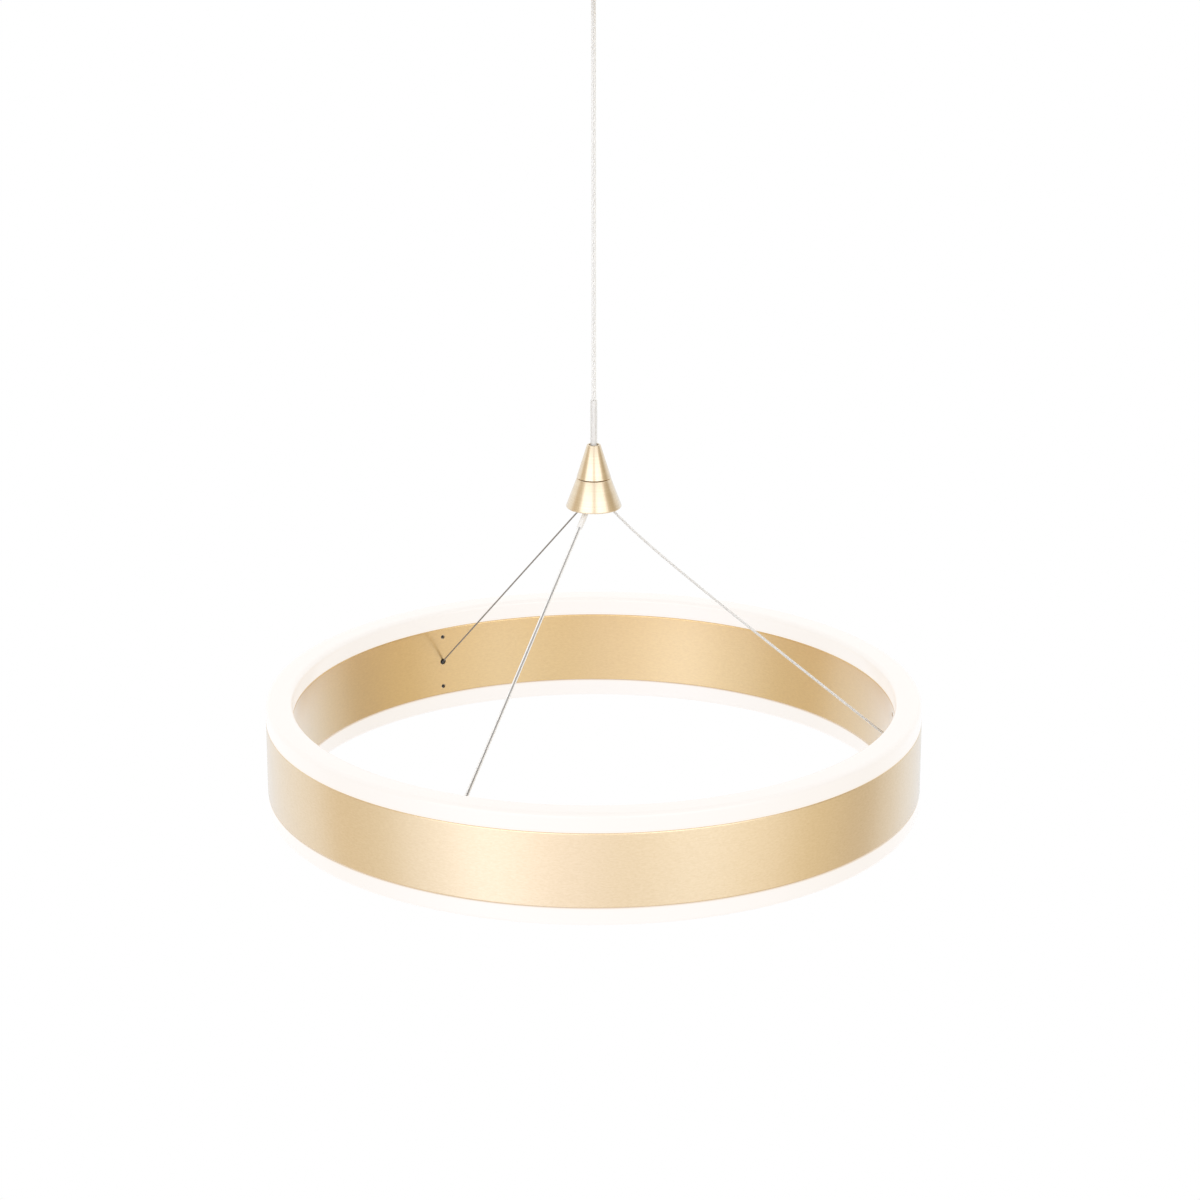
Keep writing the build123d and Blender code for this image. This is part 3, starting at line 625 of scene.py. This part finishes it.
def opal(name):
    """Frosted acrylic, lit from inside. Its glow is painted warmer near the gold,
    and a thin painted shadow darkens it just past the gold, below the ring's middle."""
    finish, ring = looks(), bpy.context.scene.pendant_ring
    made, tree, shader = new_material(
        name, Roughness=0.4, Coat_Weight=0.6, Coat_Roughness=0.12, Emission_Strength=finish.glow_strength,
    )
    rise = maths(tree, "SUBTRACT", apart(tree, spot(tree))[2], ring.mid)
    above = maths(tree, "SUBTRACT", maths(tree, "ABSOLUTE", rise), ring.band / 2)
    # painted light: the glow turns warmer within 1.8 mm of the gold, for light that the gold throws back
    painted_gold_glow = ranged(tree, above, 0.0, 1.8 * MM, 0.3, 0.0)
    # painted shadow: a thin dark line just past the gold, where the band shades the opal
    seam_shadow = ranged(tree, above, 0.3 * MM, 0.6 * MM, 0.4, 0.0)
    seam_shadow = times(tree, seam_shadow, maths(tree, "LESS_THAN", rise, 0.0))
    glow = mixed(tree, painted_gold_glow, solid(finish.glow), (1.0, 0.84, 0.66, 1.0))
    wire_up(
        tree, shader,
        Base_Color=mixed(tree, seam_shadow, solid(finish.opal), (0.36, 0.27, 0.18, 1.0)),
        Emission_Color=mixed(tree, seam_shadow, glow, (0.50, 0.38, 0.25, 1.0)),
        Normal=bump(tree, group(tree, grain, Scale=1400.0)["Height"], 0.01 * MM),
    )
    return made


def light_chip(name):
    """Yellow phosphor over a lit chip."""
    made, tree, shader = new_material(name, Roughness=0.5, Emission_Strength=1.2)
    skin = group(tree, grain, Scale=3000.0)["Height"]
    lit = mixed(tree, skin, (1.0, 0.88, 0.60, 1.0), (1.0, 0.93, 0.74, 1.0))
    wire_up(tree, shader, Base_Color=lit, Emission_Color=lit, Normal=bump(tree, skin, 0.02 * MM))
    return made


def plain(name, light, dark, rough, metallic=0.0, depth=0.01 * MM, **constants):
    """A moulded or coated finish with grain, smudges and specks."""
    made, tree, shader = new_material(name, Metallic=metallic, **constants)
    skin, touched = group(tree, grain, Scale=2600.0), group(tree, handling)
    specks, smudges = touched["Specks"], touched["Smudges"]
    share = plus(tree, times(tree, smudges, 0.5), times(tree, specks, 0.3), clamp=True)
    wire_up(
        tree, shader,
        Base_Color=mixed(tree, share, solid(light), solid(dark)),
        Roughness=span(tree, smudges, *rough),
        Normal=bump(tree, skin["Height"], depth),
    )
    return made


def strip_board(name):
    return plain(name, (0.86, 0.86, 0.83), (0.70, 0.70, 0.67), (0.4, 0.55))


def deck_metal(name):
    return plain(name, (0.74, 0.74, 0.73), (0.55, 0.55, 0.54), (0.38, 0.5), metallic=1.0)


def fitting_steel(name):
    return plain(name, (0.72, 0.71, 0.69), (0.50, 0.49, 0.47), (0.28, 0.42), metallic=1.0, depth=0.02 * MM)


def small_brass(name):
    return plain(name, (0.80, 0.62, 0.33), (0.55, 0.38, 0.16), (0.25, 0.4), metallic=1.0)


def white_plastic(name):
    return plain(name, (0.82, 0.81, 0.78), (0.66, 0.65, 0.62), (0.4, 0.52), depth=0.02 * MM)


def block_metal(name):
    return plain(name, (0.62, 0.61, 0.59), (0.42, 0.41, 0.40), (0.35, 0.5), metallic=1.0, depth=0.03 * MM)


def wire_metal(name, light, shade, starts, lay, crossed, metallic, depth):
    """Fine wires laid or braided round a cord."""
    made, tree, shader = new_material(name, Metallic=metallic)
    wires = group(tree, lay_of_wires, Starts=starts, Turn_Length=lay, Crossed=crossed)["Wires"]
    smudges = group(tree, handling)["Smudges"]
    wire_up(
        tree, shader,
        # painted shade: the grooves between the wires are darkened by the share given as shade
        Base_Color=mixed(tree, maths(tree, "POWER", wires, 0.6), solid(dimmed(light, shade)), solid(light)),
        Roughness=span(tree, smudges, 0.25, 0.42),
        Normal=bump(tree, wires, depth),
    )
    return made


def rope_steel(name):
    return wire_metal(name, looks().steel, 0.4, 30.0, 3.5 * MM, crossed=0.0, metallic=1.0, depth=0.03 * MM)


def coated_steel(name):
    # partly painted highlight: the core is pale and mostly diffuse, so that it reads as a bright line
    steel = looks().bright_steel
    return wire_metal(name, steel, 0.6, 30.0, 4.5 * MM, crossed=0.0, metallic=0.35, depth=0.03 * MM)


def power_braid(name):
    return wire_metal(name, looks().braid, 0.3, 4.0, 8.4 * MM, crossed=1.0, metallic=0.4, depth=0.05 * MM)


def cable_cores(name):
    return wire_metal(name, looks().cores, 0.85, 8.0, 4.0 * MM, crossed=1.0, metallic=0.0, depth=0.02 * MM)


# blackened screws, and painted shade for the studs and rope blocks, so that their holes read dark
def black_screw(name):
    black = looks().black
    coat = {"Coat_Weight": 1.0, "Coat_Roughness": 0.08}
    return plain(name, black, dimmed(black, 0.5), (0.2, 0.3), metallic=0.9, **coat)


def clear(name, haze, least, most, rough):
    """Thin clear plastic: least is how much of its hazy skin shows over what
    lies inside, and most how much where it is seen edge on."""
    made, tree, shader = new_material(name, IOR=1.5)
    smudges = group(tree, handling)["Smudges"]
    edge_on = node(tree, "ShaderNodeLayerWeight", {"Blend": 0.5}).outputs["Facing"]
    wire_up(
        tree, shader,
        Base_Color=mixed(tree, times(tree, smudges, 0.25), solid(haze), solid(dimmed(haze, 0.9))),
        Roughness=span(tree, smudges, rough, rough + 0.08),
        Alpha=ranged(tree, edge_on, 0.06, 0.28, least, most),
        Normal=bump(tree, group(tree, grain, Scale=1500.0)["Height"], 0.008 * MM),
    )
    return made


def clear_cable(name):
    return clear(name, looks().clear, least=0.12, most=0.95, rough=0.06)


def clear_sleeve(name):
    return clear(name, looks().sleeve, least=0.6, most=0.35, rough=0.25)


def ivory_sleeve(name):
    return clear(name, looks().ivory, least=0.88, most=0.9, rough=0.25)


def rope_coated(name):
    return clear(name, looks().clear, least=0.12, most=0.5, rough=0.05)


FINISHES = {maker.__name__: maker for maker in (
    gold_band, gold_inner, gold_turned, gold_cup, opal, light_chip, strip_board, deck_metal, fitting_steel,
    small_brass, white_plastic, block_metal, black_screw, rope_steel, rope_coated, coated_steel,
    power_braid, cable_cores, clear_cable, clear_sleeve, ivory_sleeve,
)}


def material(finish):
    """The material of a finish, built when it is first asked for."""
    name = "Finish " + finish.replace("_", " ")
    return bpy.data.materials.get(name) or FINISHES[finish](name)


# ------------------------------------------------------------------ ring
def at(azimuth):
    """A turn about Z."""
    return Matrix.Rotation(radians(azimuth), 4, "Z")


def bored(reach_in, reach_out, height, diameter, azimuth):
    """A cutter for a hole through the inner band at this azimuth."""
    mesh = rod((reach_in, 0, height), (reach_out, 0, height), diameter)
    mesh.transform(at(azimuth))
    return mesh


def raised(outline, mid, side=1):
    """An outline moved up to the ring's middle; side -1 turns it over."""
    return [(r, mid + side * z) for r, z in outline]


def wall_back(face, shelf, top, deck, ledge):
    """The back of a band from its upper rim down, with the deck's ledges."""
    upper = [(face, top), (face, deck), (shelf, deck), (shelf, ledge), (face, ledge)]
    return upper + [(r, -z) for r, z in reversed(upper)]


class PENDANT_OT_bands(bpy.types.Operator):
    """Adds the outer and the inner gold band"""

    bl_idname = "pendant.bands"
    bl_label = "Gold Bands"

    def execute(self, context):
        ring = context.scene.pendant_ring
        outside, inside = ring.radius, ring.radius - ring.width
        outer_face, inner_face = outside - ring.outer_wall, inside + ring.inner_wall
        top, deck, edge = ring.band / 2, ring.cavity / 2, ring.edge
        ledge = deck - ring.ledge
        outer = arc((outside - edge, edge - top), edge, -90, 0)
        outer += arc((outside - edge, top - edge), edge, 0, 90)
        outer += wall_back(outer_face, outer_face - ring.ledge, top, deck, ledge)
        inner = arc((inside + edge, top - edge), edge, 90, 180)
        inner += arc((inside + edge, edge - top), edge, 180, 270)
        inner += reversed(wall_back(inner_face, inner_face + ring.ledge, top, deck, ledge))
        # the cutters start before the wall and end behind it
        reach, screw = (inside - 5 * MM, inner_face + 3 * MM), ring.screw_height
        holes = []
        for azimuth in (RIGHT, REAR, FRONT):
            hole = ring.power_hole if azimuth == FRONT else ring.rope_hole
            holes.append(bored(*reach, ring.mid, hole, azimuth))
            holes += [bored(*reach, ring.mid + z, ring.screw_hole, azimuth) for z in (screw, -screw)]
        outer = lathe(raised(outer, ring.mid), ring.turns)
        piece("outer_gold_band", outer, "ring", "gold_band", ["outer_band"])
        inner = lathe(raised(inner, ring.mid), ring.turns)
        piece("inner_gold_band", drilled(inner, holes), "ring", "gold_band", ["inner_band"], "gold_inner")
        return {"FINISHED"}


class PENDANT_OT_diffusers(bpy.types.Operator):
    """Adds the two opal edges of the ring"""

    bl_idname = "pendant.diffusers"
    bl_label = "Opal Diffusers"

    def execute(self, context):
        ring = context.scene.pendant_ring
        outside, inside = ring.radius - ring.inset, ring.radius - ring.width + ring.inset
        rim, crown = ring.band / 2, ring.band / 2 + ring.proud
        foot, under, corner = ring.cavity / 2 + ring.deck + ring.fit, crown - ring.cap, ring.corner
        leg_out = ring.radius - ring.outer_wall - ring.fit
        leg_in = ring.radius - ring.width + ring.inner_wall + ring.fit
        outline = [(inside, rim)]
        outline += arc((inside + corner, crown - corner), corner, 180, 90, 12)
        outline += arc((outside - corner, crown - corner), corner, 90, 0, 12)
        outline += [(outside, rim), (leg_out, rim), (leg_out, foot), (leg_out - ring.leg, foot)]
        outline += [(leg_out - ring.leg, under), (leg_in + ring.leg, under)]
        outline += [(leg_in + ring.leg, foot), (leg_in, foot), (leg_in, rim)]
        # the small screws go through the inner legs
        reach = leg_in - ring.fit - 0.5 * MM, leg_in + ring.leg + 1.0 * MM
        for name, side in (("upper", 1), ("lower", -1)):
            mesh = lathe(raised(outline, ring.mid, side), ring.turns)
            height, hole = ring.mid + side * ring.screw_height, ring.screw + ring.fit
            holes = [bored(*reach, height, hole, azimuth) for azimuth in (RIGHT, REAR, FRONT)]
            piece(name + "_opal", drilled(mesh, holes), "ring", "opal", [name + "_diffuser"])
        return {"FINISHED"}


# ------------------------------------------------------------------ hub
class PENDANT_OT_cones(bpy.types.Operator):
    """Adds the two turned cones"""

    bl_idname = "pendant.cones"
    bl_label = "Turned Cones"

    def execute(self, context):
        hub = context.scene.pendant_hub
        split = hub.low + hub.lower_height
        # each rim is eased in three points
        bevel, slant, drop = hub.edge, 0.3 * hub.edge, 0.25 * hub.edge
        lean = atan2(hub.base - hub.split, hub.lower_height)
        # the rounded foot touches the underside and the slope
        reach = hub.foot_round * tan((pi / 2 + lean) / 2)
        foot = arc((hub.base - reach, hub.low + hub.foot_round), hub.foot_round, -90, degrees(lean))
        bore, ceiling, recess = hub.shank + 0.05 * MM, split - hub.floor, hub.low + hub.plate_depth
        outline = [(hub.plate, hub.low), *foot]
        outline += [(hub.split + bevel * sin(lean), split - bevel), (hub.split - slant, split - drop)]
        outline += [(hub.split - bevel, split), (bore, split), (bore, ceiling), (hub.hollow, ceiling)]
        outline += [(hub.hollow, recess), (hub.plate, recess)]
        cone = lathe(outline, 192)
        piece("lower_turned_cone", cone, "ring", "gold_turned", ["lower_cone"])

        start, seat, top, ease = split + hub.gap, hub.high - hub.mouth_depth, hub.high, 0.1 * MM
        outline = [(hub.shank, hub.shank_low), (hub.shank, start), (hub.split - bevel, start)]
        outline += [(hub.split - slant, start + drop), (hub.split - 0.1 * bevel, start + bevel)]
        outline += [(hub.top + 0.5 * bevel, top - bevel), (hub.top - slant, top - drop)]
        outline += [(hub.top - bevel, top), (hub.mouth + ease, top), (hub.mouth, top - ease)]
        outline += [(hub.mouth, seat), (hub.cable_bore, seat), (hub.cable_bore, seat - hub.shelf)]
        outline += [(hub.shank_bore, seat - hub.shelf), (hub.shank_bore, hub.shank_low)]
        cone = lathe(outline, 192)
        piece("upper_turned_cone", cone, "hub_top", "gold_turned", ["upper_cone"])
        return {"FINISHED"}


# ------------------------------------------------------------------ wires
def wire_lines(context):
    """The wires' straight lines: slope, run, and a point on one of them at
    this distance from the hub's underside, at azimuth 0."""
    ring, hub, wires = context.scene.pendant_ring, context.scene.pendant_hub, context.scene.pendant_wires
    across, rise = landing_radius(context) - wires.exit_radius, hub.low - ring.mid
    slope, run = atan2(rise, across), hypot(rise, across)

    def on_wire(distance, steeper=0.0):
        angle = slope + steeper
        return Vector((wires.exit_radius + distance * cos(angle), 0, hub.low - distance * sin(angle)))

    return slope, run, on_wire


def landing_radius(context):
    """How far out the wires aim at the ring's middle height."""
    ring = context.scene.pendant_ring
    return ring.radius - ring.width + context.scene.pendant_wires.landing


def seat(wires, slope, diameter):
    """How far inside the hub the stop of a wire of this diameter sits."""
    return ((diameter + wires.stop) / 2 * cos(slope) + wires.stop_seat) / sin(slope)


class PENDANT_OT_ropes(bpy.types.Operator):
    """Adds the bare rear rope and the clear-coated right rope"""

    bl_idname = "pendant.ropes"
    bl_label = "Steel Ropes"

    def execute(self, context):
        wires = context.scene.pendant_wires
        slope, run, on_wire = wire_lines(context)
        # bare rope at the rear
        points = [on_wire(-seat(wires, slope, wires.rope)), on_wire(run - wires.crimp)]
        line = route([at(REAR) @ p for p in points], 420)
        mesh = sweep(line, rope_section(wires.rope), ROPE_LAY * wires.rope)
        rope = piece("bare_rope", mesh, "ring", "rope_steel", ["rear_rope"])
        at(REAR) @ on_wire(0)
        # coated rope at the right, bowed a little below its line
        down = Vector((-sin(slope), 0, -cos(slope))) * wires.sag
        lean = atan2(BOW[0][1] * wires.sag, BOW[0][0] * run)
        points = [on_wire(-seat(wires, slope, wires.coated), lean)]
        points += [on_wire(share * run) + down * depth for share, depth in BOW]
        points.append(on_wire(run - wires.crimp))
        line = route([at(RIGHT) @ p for p in points], 84)
        steel = wires.coated - 2 * wires.coat
        mesh = sweep(line, rope_section(steel), ROPE_LAY * steel)
        core = piece("coated_rope_core", mesh, "ring", "rope_coated", finish="coated_steel")
        mesh = sweep(line[::4] + line[-1:], circle(wires.coated))
        coat = piece("rope_clear_coat", mesh, "ring", "rope_coated", ["coated_rope"])
        at(RIGHT) @ on_wire(0)
        return {"FINISHED"}


class PENDANT_OT_power_cable(bpy.types.Operator):
    """Adds the clear-jacketed power cable and its sleeve"""

    bl_idname = "pendant.power_cable"
    bl_label = "Power Cable"

    def execute(self, context):
        wires = context.scene.pendant_wires
        slope, run, on_wire = wire_lines(context)
        start = -seat(wires, slope, wires.sleeve)
        points = [on_wire(start), on_wire(run + wires.power_end)]
        line = route([at(FRONT) @ p for p in points], 240)
        # the braid lies against one side of its jacket
        ahead = (line[-1] - line[0]).normalized()
        aside = (Vector((1, 0, 0)) - ahead * ahead.x).normalized() * wires.braid_shift
        mesh = sweep([place + aside for place in line], circle(wires.braid, 32))
        core = piece("power_cable_braid", mesh, "ring", "clear_cable", finish="power_braid")
        mesh = sweep(line[::8] + line[-1:], circle(wires.power))
        jacket = piece("power_cable_jacket", mesh, "ring", "clear_cable", ["power_cable"])
        ends, fit = [on_wire(start), on_wire(wires.sleeve_reach + start)], wires.fit
        inner, outer, reach = wires.power / 2 + fit, wires.sleeve / 2, (ends[1] - ends[0]).length
        wall = [(inner, 0), (outer, 0), (outer, reach - fit), (outer - fit, reach), (inner, reach)]
        mesh = lathe(wall, 48)
        mesh.transform(at(FRONT) @ pointing(ends[0], ends[1] - ends[0]))
        sleeve = piece("power_cable_sleeve", mesh, "ring", "clear_sleeve", ["power_sleeve"], "ivory_sleeve")
        reach = (points[1] - points[0]).length
        at(FRONT) @ on_wire(0)
        return {"FINISHED"}


class PENDANT_OT_studs(bpy.types.Operator):
    """Adds the ball studs that hold the ropes in the ring"""

    bl_idname = "pendant.studs"
    bl_label = "Ball Studs"

    def execute(self, context):
        ring, wires = context.scene.pendant_ring, context.scene.pendant_wires
        slope, run, on_wire = wire_lines(context)
        middle, end = Vector((landing_radius(context), 0, ring.mid)), on_wire(run - wires.crimp)
        ball, shank, fit = wires.ball / 2, wires.shank / 2, wires.fit
        neck, reach = degrees(acos(shank / ball)), (end - middle).length
        profile = [(0, -ball), *arc((0, 0), ball, -82, neck, 16), (shank, wires.stud), (0, wires.stud)]
        meshes = []
        for azimuth, rope in ((RIGHT, wires.coated), (REAR, wires.rope)):
            crimp = rope / 2 + fit
            tube = [(0, 0), (crimp, 0), (crimp, reach - fit), (crimp - fit, reach), (0, reach)]
            stud = turned(profile, middle, (1, 0, 0))
            collar = turned(tube, middle, end - middle, 32)
            for mesh in (stud, collar):
                mesh.transform(at(azimuth))
                meshes.append(mesh)
        studs = merged(meshes)
        # painted shade: the studs take the screws' dark finish, so that their holes read shaded
        piece("ball_studs", studs, "ring", "fitting_steel", ["rope_studs"], "black_screw")
        return {"FINISHED"}


class PENDANT_OT_main_cable(bpy.types.Operator):
    """Adds the main cable with its twisted cores and its clear sleeve"""

    bl_idname = "pendant.main_cable"
    bl_label = "Main Cable"

    def execute(self, context):
        wires = context.scene.pendant_wires
        top, foot = cable_high.z - wires.main / 2, cable_low.z
        line = route([Vector((0, 0, top)), Vector((0, 0, foot))], 360)
        # two cores wound round each other, a little apart
        aside, section = (0.53 * wires.main_core, 0), circle(wires.main_core, 16)
        strands = [sweep(line, section, wires.main_lay, phase, aside) for phase in (0, pi)]
        mesh = merged(strands, 60)
        cores = piece("main_cable_cores", mesh, "cable", "clear_cable", finish="cable_cores")
        mesh = sweep(line, circle(wires.main, 32))
        jacket = piece("main_cable_jacket", mesh, "cable", "clear_cable", ["main_cable"], "rope_coated")
        for thing in (cores, jacket):
            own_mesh(thing)
        inner, outer, soft = wires.main / 2 + wires.fit, sleeve_high.x, 0.2 * MM
        low, high = sleeve_low.z, sleeve_high.z
        wall = [(inner, low), (outer, low), (outer, high - soft), (outer - soft, high), (inner, high)]
        mesh = lathe(wall, 64)
        sleeve = piece("main_cable_sleeve", mesh, "cable_foot", "clear_sleeve", ["cable_sleeve"])
        return {"FINISHED"}


# ------------------------------------------------------------------ other pieces
class PENDANT_OT_hardware(bpy.types.Operator):
    """Gives every other piece of the lamp its finish"""

    bl_idname = "pendant.hardware"
    bl_label = "Fittings"

    def execute(self, context):
        finishes = {part["node"]: part["material_slot"] for part in frame["record"]["subparts"]}
        for name, thing in frame["nodes"].items():
            if thing.hide_render:
                continue
            # the screws are blackened; the rope blocks take the same dark as painted shade behind their
            # holes
            finish = "black_screw" if name in ("retainers", "rope_blocks") else finishes[name]
            for place in thing.material_slots:
                place.material = material(finish)
            if not thing.material_slots:
                raise RuntimeError(name + " has no material slot")
        return {"FINISHED"}


# ------------------------------------------------------------------ studio
def by_azimuth(tree, direction, strength, stops):
    """Light from each side: stops are (azimuth, share of the strength), 0
    towards the camera and positive to its right."""
    parts = apart(tree, direction)
    angle = maths(tree, "ARCTAN2", parts[0], times(tree, parts[1], -1.0))
    share = plus(tree, maths(tree, "DIVIDE", angle, 2 * pi), 0.5)
    ramp = node(tree, "ShaderNodeValToRGB", {0: share})
    colours = ramp.color_ramp
    colours.interpolation = "EASE"
    while len(colours.elements) > 1:
        colours.elements.remove(colours.elements[-1])
    for k, (azimuth, light) in enumerate(stops):
        place = (azimuth + 180) / 360
        element = colours.elements[0] if k == 0 else colours.elements.new(place)
        element.position, element.color = place, solid(light)
    inputs = {0: ramp.outputs[0], "Scale": strength}
    return node(tree, "ShaderNodeVectorMath", inputs, operation="SCALE").outputs[0]


class PENDANT_OT_studio(bpy.types.Operator):
    """Sets the camera, the soft light and the pale floor"""

    bl_idname = "pendant.studio"
    bl_label = "Studio"

    def execute(self, context):
        scene = context.scene
        scene.view_settings.view_transform = "Standard"
        data = bpy.data.cameras.new("Camera")
        data.lens, data.sensor_width, data.clip_start = LENS, FILM, 0.01
        camera = bpy.data.objects.new("Camera", data)
        scene.collection.objects.link(camera)
        camera.location = CAMERA_AT
        camera.rotation_euler = (Vector(LOOKS_AT) - camera.location).to_track_quat("-Z", "Y").to_euler()
        scene.camera = camera
        self.light(scene)
        self.floor(scene)
        return {"FINISHED"}

    def light(self, scene):
        """Soft light from all round, stronger from some sides. The camera
        sees plain white, also through clear pieces."""
        world = bpy.data.worlds.new("Studio")
        scene.world = world
        world.use_nodes = True
        tree = world.node_tree
        tree.nodes.clear()
        direction = spot(tree, "Generated")
        height = apart(tree, direction)[2]
        # light from level with the lamp and below it, then from above it
        low = by_azimuth(tree, direction, 1.8, [
            (-180, (0.51, 0.52, 0.54)), (-140, (0.53, 0.54, 0.56)), (-118, (0.53, 0.53, 0.53)),
            (-100, (0.45, 0.40, 0.32)), (-84, (0.47, 0.44, 0.38)), (-62, (0.59, 0.60, 0.63)),
            (-40, (0.73, 0.77, 0.88)), (-12, (0.60, 0.60, 0.64)), (10, (0.54, 0.53, 0.52)),
            (34, (0.60, 0.61, 0.63)), (57, (0.56, 0.54, 0.50)), (80, (0.46, 0.41, 0.31)),
            (105, (0.37, 0.33, 0.27)), (120, (0.46, 0.45, 0.43)), (138, (0.51, 0.53, 0.56)),
            (180, (0.51, 0.52, 0.54)),
        ])
        high = by_azimuth(tree, direction, 2.4, [
            (-180, (0.40, 0.40, 0.40)), (-118, (0.41, 0.41, 0.40)), (-92, (0.27, 0.22, 0.16)),
            (-74, (0.30, 0.26, 0.19)), (-52, (0.80, 0.80, 0.80)), (-16, (0.86, 0.86, 0.88)),
            (0, (0.46, 0.43, 0.39)), (16, (0.86, 0.86, 0.87)), (48, (0.76, 0.76, 0.76)),
            (70, (0.25, 0.21, 0.15)), (92, (0.19, 0.155, 0.105)), (118, (0.38, 0.38, 0.37)),
            (180, (0.40, 0.40, 0.40)),
        ])
        above, overhead = ranged(tree, height, -0.02, 0.18), ranged(tree, height, 0.5, 0.7)
        studio = mixed(tree, overhead, mixed(tree, above, low, high), (0.95, 0.95, 0.95, 1.0))
        studio = node(tree, "ShaderNodeBackground", {"Color": studio, "Strength": 1.0})
        white = node(tree, "ShaderNodeBackground", {"Color": WHITE, "Strength": 1.0})
        rays = node(tree, "ShaderNodeLightPath").outputs
        seen = maths(tree, "MAXIMUM", rays["Is Camera Ray"], rays["Is Transmission Ray"])
        choice = node(tree, "ShaderNodeMixShader", {0: seen, 1: studio.outputs[0], 2: white.outputs[0]})
        node(tree, "ShaderNodeOutputWorld", {"Surface": choice.outputs[0]})

    def floor(self, scene):
        """A wide pale floor, far below the lamp and plain white to the
        camera."""
        size, depth = 6.0, -1.7
        corners = [(-size, -size, depth), (size, -size, depth), (size, size, depth), (-size, size, depth)]
        mesh = mesh_from(corners, [(0, 1, 2, 3)])
        floor = bpy.data.objects.new("Floor", mesh)
        scene.collection.objects.link(floor)
        made = bpy.data.materials.new("Floor")
        made.use_nodes = True
        tree = made.node_tree
        tree.nodes.clear()
        pale = node(tree, "ShaderNodeBsdfDiffuse", {"Color": (0.9, 0.9, 0.9, 1.0)})
        white = node(tree, "ShaderNodeEmission", {"Color": WHITE, "Strength": 1.0})
        camera = node(tree, "ShaderNodeLightPath").outputs["Is Camera Ray"]
        seen = node(tree, "ShaderNodeMixShader", {0: camera, 1: pale.outputs[0], 2: white.outputs[0]})
        nothing = node(tree, "ShaderNodeBsdfTransparent")
        under = node(tree, "ShaderNodeNewGeometry").outputs["Backfacing"]
        shown = node(tree, "ShaderNodeMixShader", {0: under, 1: seen.outputs[0], 2: nothing.outputs[0]})
        node(tree, "ShaderNodeOutputMaterial", {"Surface": shown.outputs[0]})
        mesh.materials.append(made)
        floor.visible_glossy = floor.visible_diffuse = floor.visible_transmission = False
        floor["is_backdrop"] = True


# ------------------------------------------------------------------ panel
class PENDANT_PT_panel(bpy.types.Panel):
    """Buttons for each group of pieces, and the sizes they use."""

    bl_idname = "PENDANT_PT_panel"
    bl_label = "Ring Pendant"
    bl_space_type = "VIEW_3D"
    bl_region_type = "UI"
    bl_category = "Ring Pendant"

    def draw(self, context):
        for operator in OPERATORS:
            self.layout.operator(operator.bl_idname)
        for name, kind in SETTINGS.items():
            box = self.layout.box()
            box.label(text=name.removeprefix("pendant_").title())
            for size in kind.__annotations__:
                box.prop(getattr(context.scene, name), size)


OPERATORS = (
    PENDANT_OT_studio, PENDANT_OT_ropes, PENDANT_OT_power_cable, PENDANT_OT_main_cable, PENDANT_OT_studs,
    PENDANT_OT_bands, PENDANT_OT_diffusers, PENDANT_OT_cones, PENDANT_OT_hardware,
)
SETTINGS = {
    "pendant_ring": RingSizes, "pendant_hub": HubSizes,
    "pendant_wires": WireSizes, "pendant_finishes": Finishes,
}


def register():
    for settings in SETTINGS.values():
        bpy.utils.register_class(settings)
    for operator in OPERATORS:
        bpy.utils.register_class(operator)
    bpy.utils.register_class(PENDANT_PT_panel)
    for name, settings in SETTINGS.items():
        setattr(bpy.types.Scene, name, PointerProperty(type=settings))


def unregister():
    for name in SETTINGS:
        delattr(bpy.types.Scene, name)
    bpy.utils.unregister_class(PENDANT_PT_panel)
    for operator in reversed(OPERATORS):
        bpy.utils.unregister_class(operator)
    for settings in reversed(SETTINGS.values()):
        bpy.utils.unregister_class(settings)


def main():
    """Builds the whole lamp and works out the sizes of the CAD and of the
    dressed model."""
    register()
    bpy.ops.pendant.studio()
    bpy.ops.pendant.ropes()
    bpy.ops.pendant.power_cable()
    bpy.ops.pendant.main_cable()
    bpy.ops.pendant.studs()
    bpy.ops.pendant.bands()
    bpy.ops.pendant.diffusers()
    bpy.ops.pendant.cones()
    bpy.ops.pendant.hardware()
    boxes = {"cad": cad_box, "visual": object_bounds()}
    {name: [[float(x) for x in corner] for corner in corners] for name, corners in boxes.items()}


if __name__ == "__main__":
    main()
